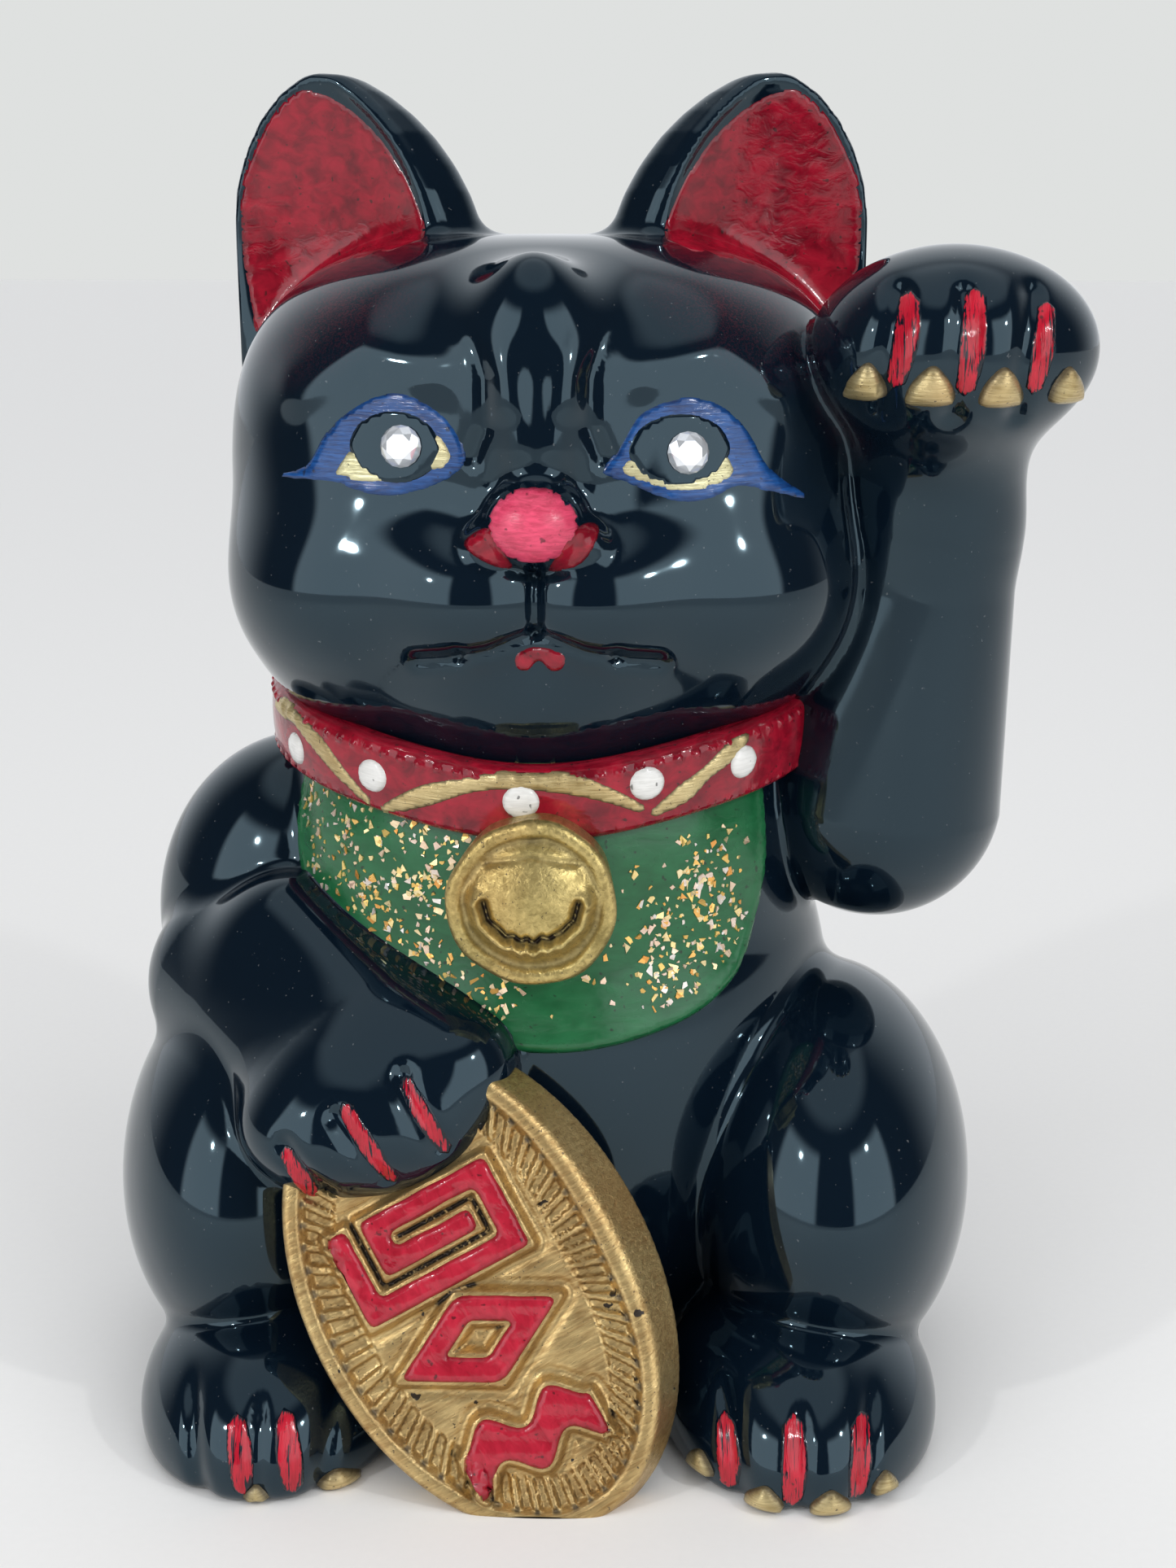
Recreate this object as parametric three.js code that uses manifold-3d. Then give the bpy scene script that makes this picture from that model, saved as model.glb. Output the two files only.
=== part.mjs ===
// Beckoning cat figurine: hollow, black-glazed castings luted together, with a leaning
// oval coin, glued glass stones for pupils and a stopper under the base.
// Millimetres, +Z up. The cat looks along -Y, so its own left side is +X.
import * as THREE from 'three';
import { mergeVertices } from 'three/addons/utils/BufferGeometryUtils.js';
import Module from 'manifold-3d';

const wasm = await Module();
wasm.setup();

// ---- Driving dimensions ---------------------------------------------------------------

const GAP = 0.3; // joint between two castings
const WALL = 4.5; // fired wall of the hollow castings
const ROUND = 26; // sides of a large round form
const FINE = 16; // sides of a small round form

// Seated body: a belly form and a chest form, one above the other
const BODY = { width: 112, depth: 112, centreZ: 60, height: 144 };
const CHEST = { width: 100, depth: 100, centreZ: 104, height: 60, forward: 2 };
const NECK = { width: 91, depth: 92, topZ: 128, forward: 3 };
const FLOOR_WALL = 6;

// Coin bank: slot in the upper back, stoppered hole in the base
const SLOT = { width: 38, height: 5.5, z: 100 };
const HOLE = { radius: 13, recess: 18, recessDepth: 3 };
const STOPPER = { clearance: 0.3, discThickness: 2.2, plugDepth: 9, pull: 5 };

// Head: a squared-off ball with cheeks, muzzle, chin, bridge and nose
const HEAD = { width: 116, depth: 100, height: 92, forward: 5, plan: 2.3, profile: 2.8 };
const CHEEK = { width: 52, depth: 54, height: 46, apart: 54, forward: 23, drop: 16 };
const MUZZLE = { width: 32, depth: 34, height: 26, apart: 19, drop: 14, out: 10 };
const CHIN = { width: 32, depth: 22, height: 20, drop: 25, out: 6 };
const BRIDGE = { width: 18, depth: 30, height: 46, rise: 10, out: 8 };
const NOSE = { width: 18, depth: 20, height: 15, rise: 2, out: 15 };

const EAR = { width: 46, height: 38, root: 24, apart: 72, thickness: 17, turn: 22, rim: 4.5, dish: 6 };

// Limbs
const HAUNCH = { width: 54, depth: 96, height: 76, inset: 3, forward: 18 };
const FOOT = { width: 50, length: 72, height: 40, apart: 94, forward: 48, sink: 5 };
const RAISED = { elbow: 23, wrist: 17, paw: 24, pawHeight: 36, reach: 26, lean: 7, handZ: 190 };
const LOWERED = { shoulder: 30, elbow: 20, wrist: 16, paw: 18, pawHeight: 26, handZ: 61, hold: 16.4,
  back: { radius: 10.5, inset: 12, forward: 20, rise: 27, reach: 11.5, top: 9.5 } };
const TAIL = { root: 10, tip: 7, side: 22, rise: 22, z: 14 };

// Collar, bib and bell
const COLLAR = { clearance: 1, thickness: 5, height: 13, tilt: 6, z: 123.5 };
const BIB = { thickness: 2, width: 86, drop: 45, round: 24 };
const BELL = { radius: 14.5, dome: 8, rim: 2, back: 6, drop: 22 };

// Oval coin, leaning back between the feet with its long axis turned
const COIN = { length: 91.6, width: 60, thickness: 8, lean: 15, turn: 29, rim: 3, sink: 1.4 };
const COIN_PLACE = { x: -8.6, rise: 38.5, footY: -85 };
const RELIEF = { height: 2.2, stroke: 4, size: 17, pitch: 18.5, across: 31, aside: -4, shift: -7.5 };

// Faceted stones, the pupils of the eyes
const STONE = { radius: 3.6, crown: 1.7, pavilion: 1.2, table: 0.66, facets: 8 };
const PUPILS = { apart: 47, shift: 2.3, rise: 12.6 };

// ---- Materials ------------------------------------------------------------------------

function finish(color, roughness, metalness = 0) {
  return new THREE.MeshStandardMaterial({ color, roughness, metalness });
}
const blackGlaze = finish(0x0b0d12, 0.08);
const redEnamel = finish(0x98192b, 0.3);
const greenEnamel = finish(0x1e5a38, 0.35);
const agedGold = finish(0x9a7f3a, 0.35, 0.8);
const glassStone = finish(0xe8eef5, 0.05);
const stopperRubber = finish(0x2a2a2c, 0.7);

// ---- Solids ---------------------------------------------------------------------------

function solidOf(geometry) {
  const bare = geometry.clone();
  bare.deleteAttribute('normal');
  bare.deleteAttribute('uv');
  const merged = mergeVertices(bare, 1e-4);
  const vertProperties = new Float32Array(merged.attributes.position.array);
  const triVerts = new Uint32Array(merged.index.array);
  return new wasm.Manifold(new wasm.Mesh({ numProp: 3, vertProperties, triVerts }));
}

function join(...solids) {
  return solids.reduce((whole, solid) => whole.add(solid));
}

function cut(solid, ...tools) {
  return tools.reduce((rest, tool) => rest.subtract(tool), solid);
}

// The biggest of a solid's bodies: slivers that a cut leaves behind are dropped.
function biggest(solid) {
  return solid.decompose().sort((a, b) => b.volume() - a.volume())[0];
}

function ellipsoid(x, y, z, width, depth, height, sides = ROUND) {
  const ball = new THREE.SphereGeometry(0.5, sides, sides / 2);
  ball.rotateX(Math.PI / 2);
  ball.scale(width, depth, height);
  ball.translate(x, y, z);
  return solidOf(ball);
}

// A ball whose plan and profile are squared off by their exponents.
function squaredBall(x, y, z, width, depth, height, plan, profile, sides = ROUND) {
  const ball = new THREE.SphereGeometry(1, sides, sides / 2);
  ball.rotateX(Math.PI / 2);
  const at = ball.attributes.position;
  for (let i = 0; i < at.count; i += 1) {
    const p = new THREE.Vector3().fromBufferAttribute(at, i);
    const round = (Math.abs(p.x) ** plan + Math.abs(p.y) ** plan) ** (1 / plan);
    p.divideScalar((round ** profile + Math.abs(p.z) ** profile) ** (1 / profile));
    at.setXYZ(i, p.x, p.y, p.z);
  }
  ball.scale(width / 2, depth / 2, height / 2);
  ball.translate(x, y, z);
  return solidOf(ball);
}

function box(lowX, lowY, lowZ, highX, highY, highZ) {
  const block = new THREE.BoxGeometry(highX - lowX, highY - lowY, highZ - lowZ);
  block.translate((lowX + highX) / 2, (lowY + highY) / 2, (lowZ + highZ) / 2);
  return solidOf(block);
}

// A round bar with ball ends, tapering from one point to another.
function limb(from, to, fromRadius, toRadius) {
  const span = to.clone().sub(from);
  const steps = FINE / 4;
  const profile = [];
  for (let i = 0; i <= steps; i += 1) {
    const angle = (i / steps - 1) * (Math.PI / 2);
    const radius = i === 0 ? 0 : fromRadius * Math.cos(angle);
    profile.push(new THREE.Vector2(radius, fromRadius * Math.sin(angle)));
  }
  for (let i = 0; i <= steps; i += 1) {
    const angle = (i / steps) * (Math.PI / 2);
    const radius = i === steps ? 0 : toRadius * Math.cos(angle);
    profile.push(new THREE.Vector2(radius, span.length() + toRadius * Math.sin(angle)));
  }
  const bar = new THREE.LatheGeometry(profile, FINE);
  const turn = new THREE.Quaternion().setFromUnitVectors(
    new THREE.Vector3(0, 1, 0), span.clone().normalize());
  bar.applyQuaternion(turn);
  bar.translate(from.x, from.y, from.z);
  return solidOf(bar);
}

// A turned piece, its axis along +Z.
function turned(points, sides = ROUND) {
  const piece = new THREE.LatheGeometry(points.map(([r, z]) => new THREE.Vector2(r, z)), sides);
  piece.rotateX(Math.PI / 2);
  return piece;
}

const point = (x, y, z) => new THREE.Vector3(x, y, z);
const radians = THREE.MathUtils.degToRad;

// ---- Places that several pieces share -------------------------------------------------

const headZ = NECK.topZ + HEAD.height / 2 - 9;
const headFrontY = -HEAD.forward - HEAD.depth / 2;
const bodyFrontY = -BODY.depth / 2;
const bodySideX = BODY.width / 2;
const haunchX = bodySideX - HAUNCH.inset;
const shoulderX = CHEST.width / 2;
const coinFrame = new THREE.Group();
coinFrame.position.set(COIN_PLACE.x, COIN_PLACE.footY, 0);
coinFrame.rotation.x = Math.PI / 2 - radians(COIN.lean);
const coinFace = new THREE.Group();
coinFace.position.y = COIN_PLACE.rise;
coinFace.rotation.z = radians(COIN.turn);
coinFrame.add(coinFace);
coinFrame.updateMatrixWorld(true);

// ---- Seated body ----------------------------------------------------------------------

// The outer form of the body, grown all round by an allowance.
function bodyForm(grow = 0, sides = ROUND) {
  const belly = ellipsoid(0, 0, BODY.centreZ,
    BODY.width + 2 * grow, BODY.depth + 2 * grow, BODY.height + 2 * grow, sides);
  const chest = ellipsoid(0, -CHEST.forward, CHEST.centreZ,
    CHEST.width + 2 * grow, CHEST.depth + 2 * grow, CHEST.height + 2 * grow, sides);
  const neckTop = NECK.topZ + grow;
  const neck = new THREE.CylinderGeometry(0.5, 0.5, neckTop - CHEST.centreZ, sides);
  neck.rotateX(Math.PI / 2);
  neck.scale(NECK.width + 2 * grow, NECK.depth + 2 * grow, 1);
  neck.translate(0, -NECK.forward, (neckTop + CHEST.centreZ) / 2);
  return join(belly, chest, solidOf(neck));
}

const wide = BODY.width * 2;
const aboveFloor = box(-wide, -wide, 0, wide, wide, wide * 2);
const bodySpace = bodyForm(GAP);

function collarRing(grow = 0) {
  const inner = NECK.width / 2 + COLLAR.clearance - grow;
  const outer = NECK.width / 2 + COLLAR.clearance + COLLAR.thickness + grow;
  const half = COLLAR.height / 2 + grow;
  const crown = COLLAR.thickness / 5;
  const ring = turned([
    [inner, -half], [outer - crown, -half], [outer, -half / 2], [outer, half / 2],
    [outer - crown, half], [inner, half], [inner, -half]]);
  ring.scale(1, NECK.depth / NECK.width, 1);
  ring.rotateX(radians(COLLAR.tilt));
  ring.translate(0, -NECK.forward, COLLAR.z);
  return solidOf(ring);
}
const collarSeat = collarRing(GAP);

// All the space above the collar's lower edge, less a joint.
function aboveCollar() {
  const slab = new THREE.BoxGeometry(wide, wide, wide);
  slab.translate(0, 0, wide / 2 - COLLAR.height / 2 - GAP);
  slab.rotateX(radians(COLLAR.tilt));
  slab.translate(0, -NECK.forward, COLLAR.z);
  return solidOf(slab);
}

function torsoShell() {
  const neckTop = box(-wide, -wide, NECK.topZ, wide, wide, wide * 2);
  const hollow = bodyForm(-WALL, FINE).intersect(box(-wide, -wide, FLOOR_WALL, wide, wide, NECK.topZ + WALL));
  const neckHole = new THREE.CylinderGeometry(0.5, 0.5, 2 * WALL, ROUND);
  neckHole.rotateX(Math.PI / 2);
  neckHole.scale(NECK.width - 4 * WALL, NECK.depth - 4 * WALL, 2);
  neckHole.translate(0, -NECK.forward, NECK.topZ - WALL);
  const slot = box(-SLOT.width / 2, 0, SLOT.z - SLOT.height / 2, SLOT.width / 2, BODY.depth,
    SLOT.z + SLOT.height / 2);
  const hole = solidOf(turned([[0, -1], [HOLE.radius, -1], [HOLE.radius, FLOOR_WALL + 1],
    [0, FLOOR_WALL + 1]]));
  const recess = solidOf(turned([[0, -1], [HOLE.recess, -1], [HOLE.recess, HOLE.recessDepth],
    [0, HOLE.recessDepth]]));
  const whole = bodyForm().intersect(aboveFloor);
  return cut(whole, neckTop, hollow, solidOf(neckHole), slot, hole, recess, collarSeat);
}

function baseStopper() {
  const disc = HOLE.recess - STOPPER.clearance;
  const plug = HOLE.radius - STOPPER.clearance;
  const top = HOLE.recessDepth - STOPPER.clearance;
  const low = top - STOPPER.discThickness;
  const pullDeep = STOPPER.discThickness / 2;
  return solidOf(turned([
    [0, low + pullDeep], [STOPPER.pull, low + pullDeep], [STOPPER.pull, low], [disc, low],
    [disc, top], [plug, top], [plug, top + STOPPER.plugDepth - 1], [plug - 1, top + STOPPER.plugDepth],
    [0, top + STOPPER.plugDepth]]));
}

// ---- Head -----------------------------------------------------------------------------

function headForm(grow = 0) {
  const skull = squaredBall(0, -HEAD.forward, headZ, HEAD.width + 2 * grow,
    HEAD.depth + 2 * grow, HEAD.height + 2 * grow, HEAD.plan, HEAD.profile);
  const soft = 2 * grow;
  const parts = [skull];
  for (const side of [-1, 1]) {
    parts.push(ellipsoid(side * CHEEK.apart / 2, -HEAD.forward - CHEEK.forward, headZ - CHEEK.drop,
      CHEEK.width + soft, CHEEK.depth + soft, CHEEK.height + soft, FINE));
    parts.push(ellipsoid(side * MUZZLE.apart / 2, headFrontY + MUZZLE.depth / 2 - MUZZLE.out,
      headZ - MUZZLE.drop, MUZZLE.width + soft, MUZZLE.depth + soft, MUZZLE.height + soft, FINE));
  }
  parts.push(ellipsoid(0, headFrontY + CHIN.depth / 2 - CHIN.out / 2, headZ - CHIN.drop,
    CHIN.width + soft, CHIN.depth + soft, CHIN.height + soft, FINE));
  parts.push(ellipsoid(0, headFrontY + BRIDGE.depth / 2 - BRIDGE.out, headZ + BRIDGE.rise,
    BRIDGE.width + soft, BRIDGE.depth + soft, BRIDGE.height + soft, FINE));
  parts.push(ellipsoid(0, headFrontY + NOSE.depth / 2 - NOSE.out, headZ + NOSE.rise,
    NOSE.width + soft, NOSE.depth + soft, NOSE.height + soft, FINE));
  return join(...parts);
}
const headSpace = headForm(GAP);

// How far forward the skull reaches at a distance from its plane of symmetry.
function skullFrontY(x) {
  const aside = Math.abs(2 * x / HEAD.width) ** HEAD.plan;
  return -HEAD.forward - HEAD.depth / 2 * (1 - aside) ** (1 / HEAD.plan);
}

// A stone's back is flat and its axis looks straight ahead.
function stoneForm(side, grow = 0) {
  const x = side * PUPILS.apart / 2 + PUPILS.shift;
  const girdle = STONE.radius + grow;
  const cutStone = turned([
    [0, -STONE.pavilion - grow], [girdle * 0.8, -STONE.pavilion - grow], [girdle, 0],
    [girdle * STONE.table, STONE.crown + grow], [0, STONE.crown + grow]], STONE.facets);
  cutStone.rotateZ(Math.PI / STONE.facets);
  cutStone.rotateX(Math.PI / 2);
  cutStone.translate(x, skullFrontY(x), headZ + PUPILS.rise);
  return solidOf(cutStone);
}

function headShell() {
  const hollow = squaredBall(0, -HEAD.forward, headZ, HEAD.width - 2 * WALL,
    HEAD.depth - 2 * WALL, HEAD.height - 2 * WALL, HEAD.plan, HEAD.profile, FINE);
  const belowNeck = box(-wide, -wide, -1, wide, wide, NECK.topZ + GAP);
  const throat = solidOf(turned([[0, -HEAD.height], [1, -HEAD.height], [1, 0], [0, 0]])
    .scale(NECK.width / 2 - 2 * WALL, NECK.depth / 2 - 2 * WALL, 1)
    .translate(0, -NECK.forward, headZ));
  return cut(headForm(), hollow, belowNeck, throat, collarSeat, stoneForm(-1, GAP), stoneForm(1, GAP));
}

// An upright ear: outer edge steep, inner edge sloping to the crown, a dish in its face.
function earOutline(side, inset) {
  const half = EAR.width / 2 - inset;
  const tip = EAR.height - inset;
  const outline = new THREE.Shape();
  outline.moveTo(side * half, -EAR.root);
  outline.quadraticCurveTo(side * half * 1.02, tip * 0.55, side * half * 0.52, tip);
  outline.quadraticCurveTo(side * half * 0.2, tip * 1.02, 0, tip * 0.8);
  outline.quadraticCurveTo(-side * half * 0.75, tip * 0.3, -side * half, -EAR.root);
  return outline;
}

// Stands an ear's shape, drawn flat with its face up, in its place on the head.
function onCrown(side, shape) {
  shape.rotateX(Math.PI / 2);
  shape.translate(0, EAR.thickness / 2, 0);
  shape.rotateZ(radians(side * EAR.turn));
  shape.translate(side * EAR.apart / 2, 0, headZ + HEAD.height / 2 - WALL * 2);
  return solidOf(shape);
}

// A slab in the outline of an ear, between two heights.
function earSlab(side, inset, low, high) {
  const slab = new THREE.ExtrudeGeometry(earOutline(side, inset),
    { depth: high - low, bevelEnabled: false, curveSegments: FINE / 4 });
  slab.translate(0, 0, low);
  return onCrown(side, slab);
}

function earForm(side, grow = 0) {
  const back = new THREE.SphereGeometry(1, FINE, FINE / 2);
  back.rotateX(Math.PI / 2);
  back.scale(EAR.width * 0.72 + grow, EAR.height * 1.2 + grow, EAR.thickness + grow);
  back.translate(0, -EAR.height * 0.15, EAR.thickness);
  return earSlab(side, -grow, -grow, EAR.thickness + grow).intersect(onCrown(side, back));
}

function ear(side) {
  const dish = earSlab(side, EAR.rim, EAR.thickness - EAR.dish, EAR.thickness + EAR.dish);
  return cut(earForm(side), dish, headSpace);
}

// ---- Limbs ----------------------------------------------------------------------------

function haunchForm(side, grow = 0) {
  return ellipsoid(side * haunchX, -HAUNCH.forward, HAUNCH.height / 2, HAUNCH.width + 2 * grow,
    HAUNCH.depth + 2 * grow, HAUNCH.height + 2 * grow);
}

function footForm(side, grow = 0) {
  return ellipsoid(side * FOOT.apart / 2, -FOOT.forward, FOOT.sink, FOOT.width + 2 * grow,
    FOOT.length + 2 * grow, FOOT.height + 2 * grow, FINE);
}

function raisedArmForm(grow = 0) {
  const elbow = point(shoulderX + 11, -8, RAISED.handZ - 82);
  const wrist = point(elbow.x + RAISED.lean, elbow.y - 6, RAISED.handZ - 28);
  const paw = ellipsoid(wrist.x + 2, wrist.y - RAISED.reach / 2, RAISED.handZ,
    2 * (RAISED.paw + grow), 2 * (RAISED.reach + grow), RAISED.pawHeight + 2 * grow, FINE);
  return join(limb(elbow, wrist, RAISED.elbow + grow, RAISED.wrist + grow), paw);
}

function loweredArmForm(grow = 0) {
  const shoulder = ellipsoid(-bodySideX + 10, 0, CHEST.centreZ - 24, 2 * (LOWERED.shoulder + grow),
    2 * (LOWERED.shoulder + grow), 2 * (LOWERED.shoulder + 5 + grow), FINE);
  const elbow = point(-bodySideX + 1, -14, LOWERED.handZ + 9);
  const pawX = COIN_PLACE.x - LOWERED.hold;
  const wrist = point(pawX - 7, bodyFrontY + 4, LOWERED.handZ + 1);
  const paw = ellipsoid(pawX, wrist.y - 9, LOWERED.handZ, 2 * (LOWERED.paw + grow),
    2 * (LOWERED.paw - 2 + grow), LOWERED.pawHeight + 2 * grow, FINE);
  const { radius, inset, forward, rise, reach, top } = LOWERED.back;
  const back = limb(point(elbow.x + inset, elbow.y - forward, LOWERED.handZ + rise),
    point(pawX + reach, wrist.y - 5, LOWERED.handZ + top), radius + 1.5 + grow, radius + grow);
  return join(shoulder, limb(elbow, wrist, LOWERED.elbow + grow, LOWERED.wrist + grow), paw, back);
}

function tail() {
  const root = point(-TAIL.side / 2 + 4, BODY.depth / 2 - 2, TAIL.z);
  const tip = point(root.x + TAIL.side, root.y, TAIL.z + TAIL.rise);
  return cut(limb(root, tip, TAIL.root, TAIL.tip).intersect(aboveFloor), bodySpace);
}

// ---- Coin -----------------------------------------------------------------------------

function ovalPlate(length, width, thickness, z) {
  const oval = new THREE.Shape();
  oval.absellipse(0, 0, width / 2, length / 2, 0, 2 * Math.PI);
  const plate = new THREE.ExtrudeGeometry(oval,
    { depth: thickness, bevelEnabled: false, curveSegments: FINE });
  plate.translate(0, 0, z);
  plate.applyMatrix4(coinFace.matrixWorld);
  return solidOf(plate);
}

function coinPlate() {
  const field = ovalPlate(COIN.length - 2 * COIN.rim, COIN.width - 2 * COIN.rim, COIN.sink + 1,
    -COIN.sink);
  return cut(ovalPlate(COIN.length, COIN.width, COIN.thickness, -COIN.thickness), field)
    .intersect(aboveFloor);
}
const coinSpace = ovalPlate(COIN.length + 2 * GAP, COIN.width + 2 * GAP,
  COIN.thickness + 2 * GAP + RELIEF.height, -COIN.thickness - GAP);

// A raised stroke on the coin's field, given by its corners and closed on itself.
function raisedOutline(corners, holes = []) {
  const shape = new THREE.Shape(corners.map(([x, y]) => new THREE.Vector2(x, y)));
  shape.holes = holes.map((hole) => new THREE.Path(hole.map(([x, y]) => new THREE.Vector2(x, y))));
  const stroke = new THREE.ExtrudeGeometry(shape, { depth: RELIEF.height, bevelEnabled: false });
  stroke.translate(RELIEF.aside, RELIEF.shift, GAP - COIN.sink);
  stroke.applyMatrix4(coinFace.matrixWorld);
  return solidOf(stroke);
}

// A square spiral: one stroke that winds inwards, its turns evenly spaced.
function fret() {
  const half = RELIEF.across / 2;
  const s = RELIEF.stroke;
  const turn = (RELIEF.size - s) / 2;
  const low = RELIEF.pitch - RELIEF.size / 2;
  const high = RELIEF.pitch + RELIEF.size / 2;
  return raisedOutline([
    [-half, low], [half, low], [half, high], [-half + turn, high], [-half + turn, low + turn],
    [half - turn, low + turn], [half - turn, low + turn + s], [-half + turn + s, low + turn + s],
    [-half + turn + s, high - s], [half - s, high - s], [half - s, low + s], [-half + s, low + s],
    [-half + s, high], [-half, high]]);
}

// A lozenge with a lozenge hole.
function lozenge() {
  const x = RELIEF.across / 2;
  const y = RELIEF.size / 2;
  const inner = 1 - RELIEF.stroke * 1.25 / Math.min(x, y);
  const ring = (k) => [[-x * k, 0], [0, -y * k], [x * k, 0], [0, y * k]];
  return raisedOutline(ring(1), [ring(inner)]);
}

// A zigzag band that stands for waves, narrower where the coin narrows.
function waves() {
  const across = RELIEF.across * 0.8;
  const crests = 2;
  const rise = (RELIEF.size - 2 * RELIEF.stroke) / 2;
  const top = [];
  const bottom = [];
  for (let i = 0; i <= 2 * crests; i += 1) {
    const x = -across / 2 + across * i / (2 * crests);
    const y = -RELIEF.pitch + (i % 2 ? rise / 2 : -rise / 2);
    top.push([x, y + RELIEF.stroke]);
    bottom.unshift([x, y - RELIEF.stroke]);
  }
  return raisedOutline([...bottom, ...top].reverse());
}

// ---- Bib and bell ---------------------------------------------------------------------

const bellY = bodyFrontY - 2;
const bellZ = COLLAR.z - BELL.drop;

function bellForm(grow = 0) {
  const r = BELL.radius + grow;
  const back = BELL.back + grow;
  const profile = [[0, -back], [r, -back], [r, BELL.rim + grow], [r - BELL.rim, BELL.rim + grow]];
  const steps = FINE / 4;
  for (let i = 1; i <= steps; i += 1) {
    const angle = (i / steps) * (Math.PI / 2);
    const radius = i === steps ? 0 : (r - BELL.rim) * Math.cos(angle);
    profile.push([radius, BELL.rim + grow + (BELL.dome - BELL.rim) * Math.sin(angle)]);
  }
  const dome = turned(profile, FINE);
  dome.rotateX(Math.PI / 2);
  dome.translate(0, bellY, bellZ);
  return solidOf(dome);
}
const bellSpace = bellForm(GAP);
const bell = cut(bellForm(), bodySpace);

function bibForm(grow = 0) {
  const half = BIB.width / 2 + grow;
  const high = COLLAR.z;
  const low = high - BIB.drop - BIB.thickness - grow;
  const apron = new THREE.Shape();
  apron.moveTo(half, high);
  apron.lineTo(-half, high);
  apron.lineTo(-half, low + BIB.round);
  apron.absellipse(0, low + BIB.round, half, BIB.round, Math.PI, 2 * Math.PI);
  const prism = new THREE.ExtrudeGeometry(apron,
    { depth: BODY.depth, bevelEnabled: false, curveSegments: FINE / 2 });
  prism.rotateX(Math.PI / 2);
  prism.translate(0, -CHEST.forward, 0);
  return bodyForm(GAP + BIB.thickness + grow).intersect(solidOf(prism));
}
const bibSpace = bibForm(GAP);
const raisedArmSpace = raisedArmForm(GAP);
const loweredArmSpace = loweredArmForm(GAP);

// ---- Assembly -------------------------------------------------------------------------

const cat = new THREE.Group();
cat.add(coinFrame);

// Adds a solid to a frame as a mesh in that frame's own coordinates.
function piece(name, solid, material, frame = cat) {
  const { vertProperties, triVerts } = solid.getMesh();
  const geometry = new THREE.BufferGeometry();
  geometry.setAttribute('position', new THREE.BufferAttribute(vertProperties, 3));
  geometry.setIndex(new THREE.BufferAttribute(triVerts, 1));
  geometry.applyMatrix4(frame.matrixWorld.clone().invert());
  geometry.computeVertexNormals();
  const mesh = new THREE.Mesh(geometry, material);
  mesh.name = name;
  frame.add(mesh);
}

const sides = { left: 1, right: -1 };

piece('torso_shell', torsoShell(), blackGlaze);
piece('head_shell', headShell(), blackGlaze);
for (const [name, side] of Object.entries(sides)) {
  const haunch = cut(haunchForm(side).intersect(aboveFloor), bodySpace, coinSpace);
  const foot = cut(footForm(side).intersect(aboveFloor), bodySpace, haunchForm(side, GAP), coinSpace);
  piece(`ear_${name}`, ear(side), blackGlaze);
  piece(`haunch_${name}`, haunch, blackGlaze);
  piece(`foot_${name}`, foot, blackGlaze);
  piece(`stone_${name}`, stoneForm(side), glassStone);
}
piece('raised_arm', cut(raisedArmForm(), bodySpace, headSpace, collarSeat, haunchForm(1, GAP),
  earForm(1, GAP)), blackGlaze);
piece('lowered_arm', cut(loweredArmForm(), bodySpace, collarSeat, haunchForm(-1, GAP)),
  blackGlaze);
piece('tail', tail(), blackGlaze);
piece('collar', cut(collarRing(), bellSpace), redEnamel);
piece('bib', cut(bibForm(), bodySpace, aboveCollar(), bellSpace, raisedArmSpace, loweredArmSpace),
  greenEnamel);
piece('bell', bell, agedGold);
piece('koban', biggest(cut(coinPlate(), bodySpace, loweredArmSpace)), agedGold, coinFace);
piece('koban_fret', cut(fret(), loweredArmSpace), redEnamel, coinFace);
piece('koban_lozenge', lozenge(), redEnamel, coinFace);
piece('koban_waves', waves(), redEnamel, coinFace);
piece('base_stopper', baseStopper(), stopperRubber);

// The origin is on the floor, in the middle of the whole figure.
const extent = new THREE.Box3().setFromObject(cat, true);
const centre = extent.getCenter(new THREE.Vector3());
cat.position.set(-centre.x, -centre.y, 0);

export default cat;
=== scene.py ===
"""Looks of the beckoning cat: black-glazed ceramic, hand enamels, glass pupils, foil and gold.

The forms are sculpted as signed distance fields in millimetres, in the figure's own axes:
x = 0 is its plane of symmetry, it looks along -y and stands on z = 0.
"""
import math

import bpy
import numpy as np
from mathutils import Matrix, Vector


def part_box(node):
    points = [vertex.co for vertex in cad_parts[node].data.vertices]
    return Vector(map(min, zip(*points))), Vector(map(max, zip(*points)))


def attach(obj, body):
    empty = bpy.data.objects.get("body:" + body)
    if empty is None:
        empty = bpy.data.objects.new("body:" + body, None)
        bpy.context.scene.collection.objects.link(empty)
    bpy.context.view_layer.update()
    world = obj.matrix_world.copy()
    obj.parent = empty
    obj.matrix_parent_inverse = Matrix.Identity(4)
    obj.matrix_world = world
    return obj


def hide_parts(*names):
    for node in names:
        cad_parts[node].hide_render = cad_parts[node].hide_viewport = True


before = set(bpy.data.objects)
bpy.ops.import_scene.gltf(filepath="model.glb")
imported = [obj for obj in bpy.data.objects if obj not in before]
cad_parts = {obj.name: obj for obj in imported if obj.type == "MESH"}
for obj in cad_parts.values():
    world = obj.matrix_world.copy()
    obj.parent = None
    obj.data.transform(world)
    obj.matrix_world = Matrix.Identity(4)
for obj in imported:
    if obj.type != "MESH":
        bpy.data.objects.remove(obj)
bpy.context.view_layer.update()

import openvdb as vdb
from mathutils import Vector
from mathutils.geometry import delaunay_2d_cdt

MM = 0.001
SEED = 7
stopper_low, stopper_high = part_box("base_stopper")
AXIS = np.array([(stopper_low[0] + stopper_high[0]) / 2, (stopper_low[1] + stopper_high[1]) / 2, 0.0])
FIGURE = "figure"
STOPPER = "stopper"

# ==== Sculpting tools ====================================================================


def vec(*v):
    return np.array(v, np.float32)


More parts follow.
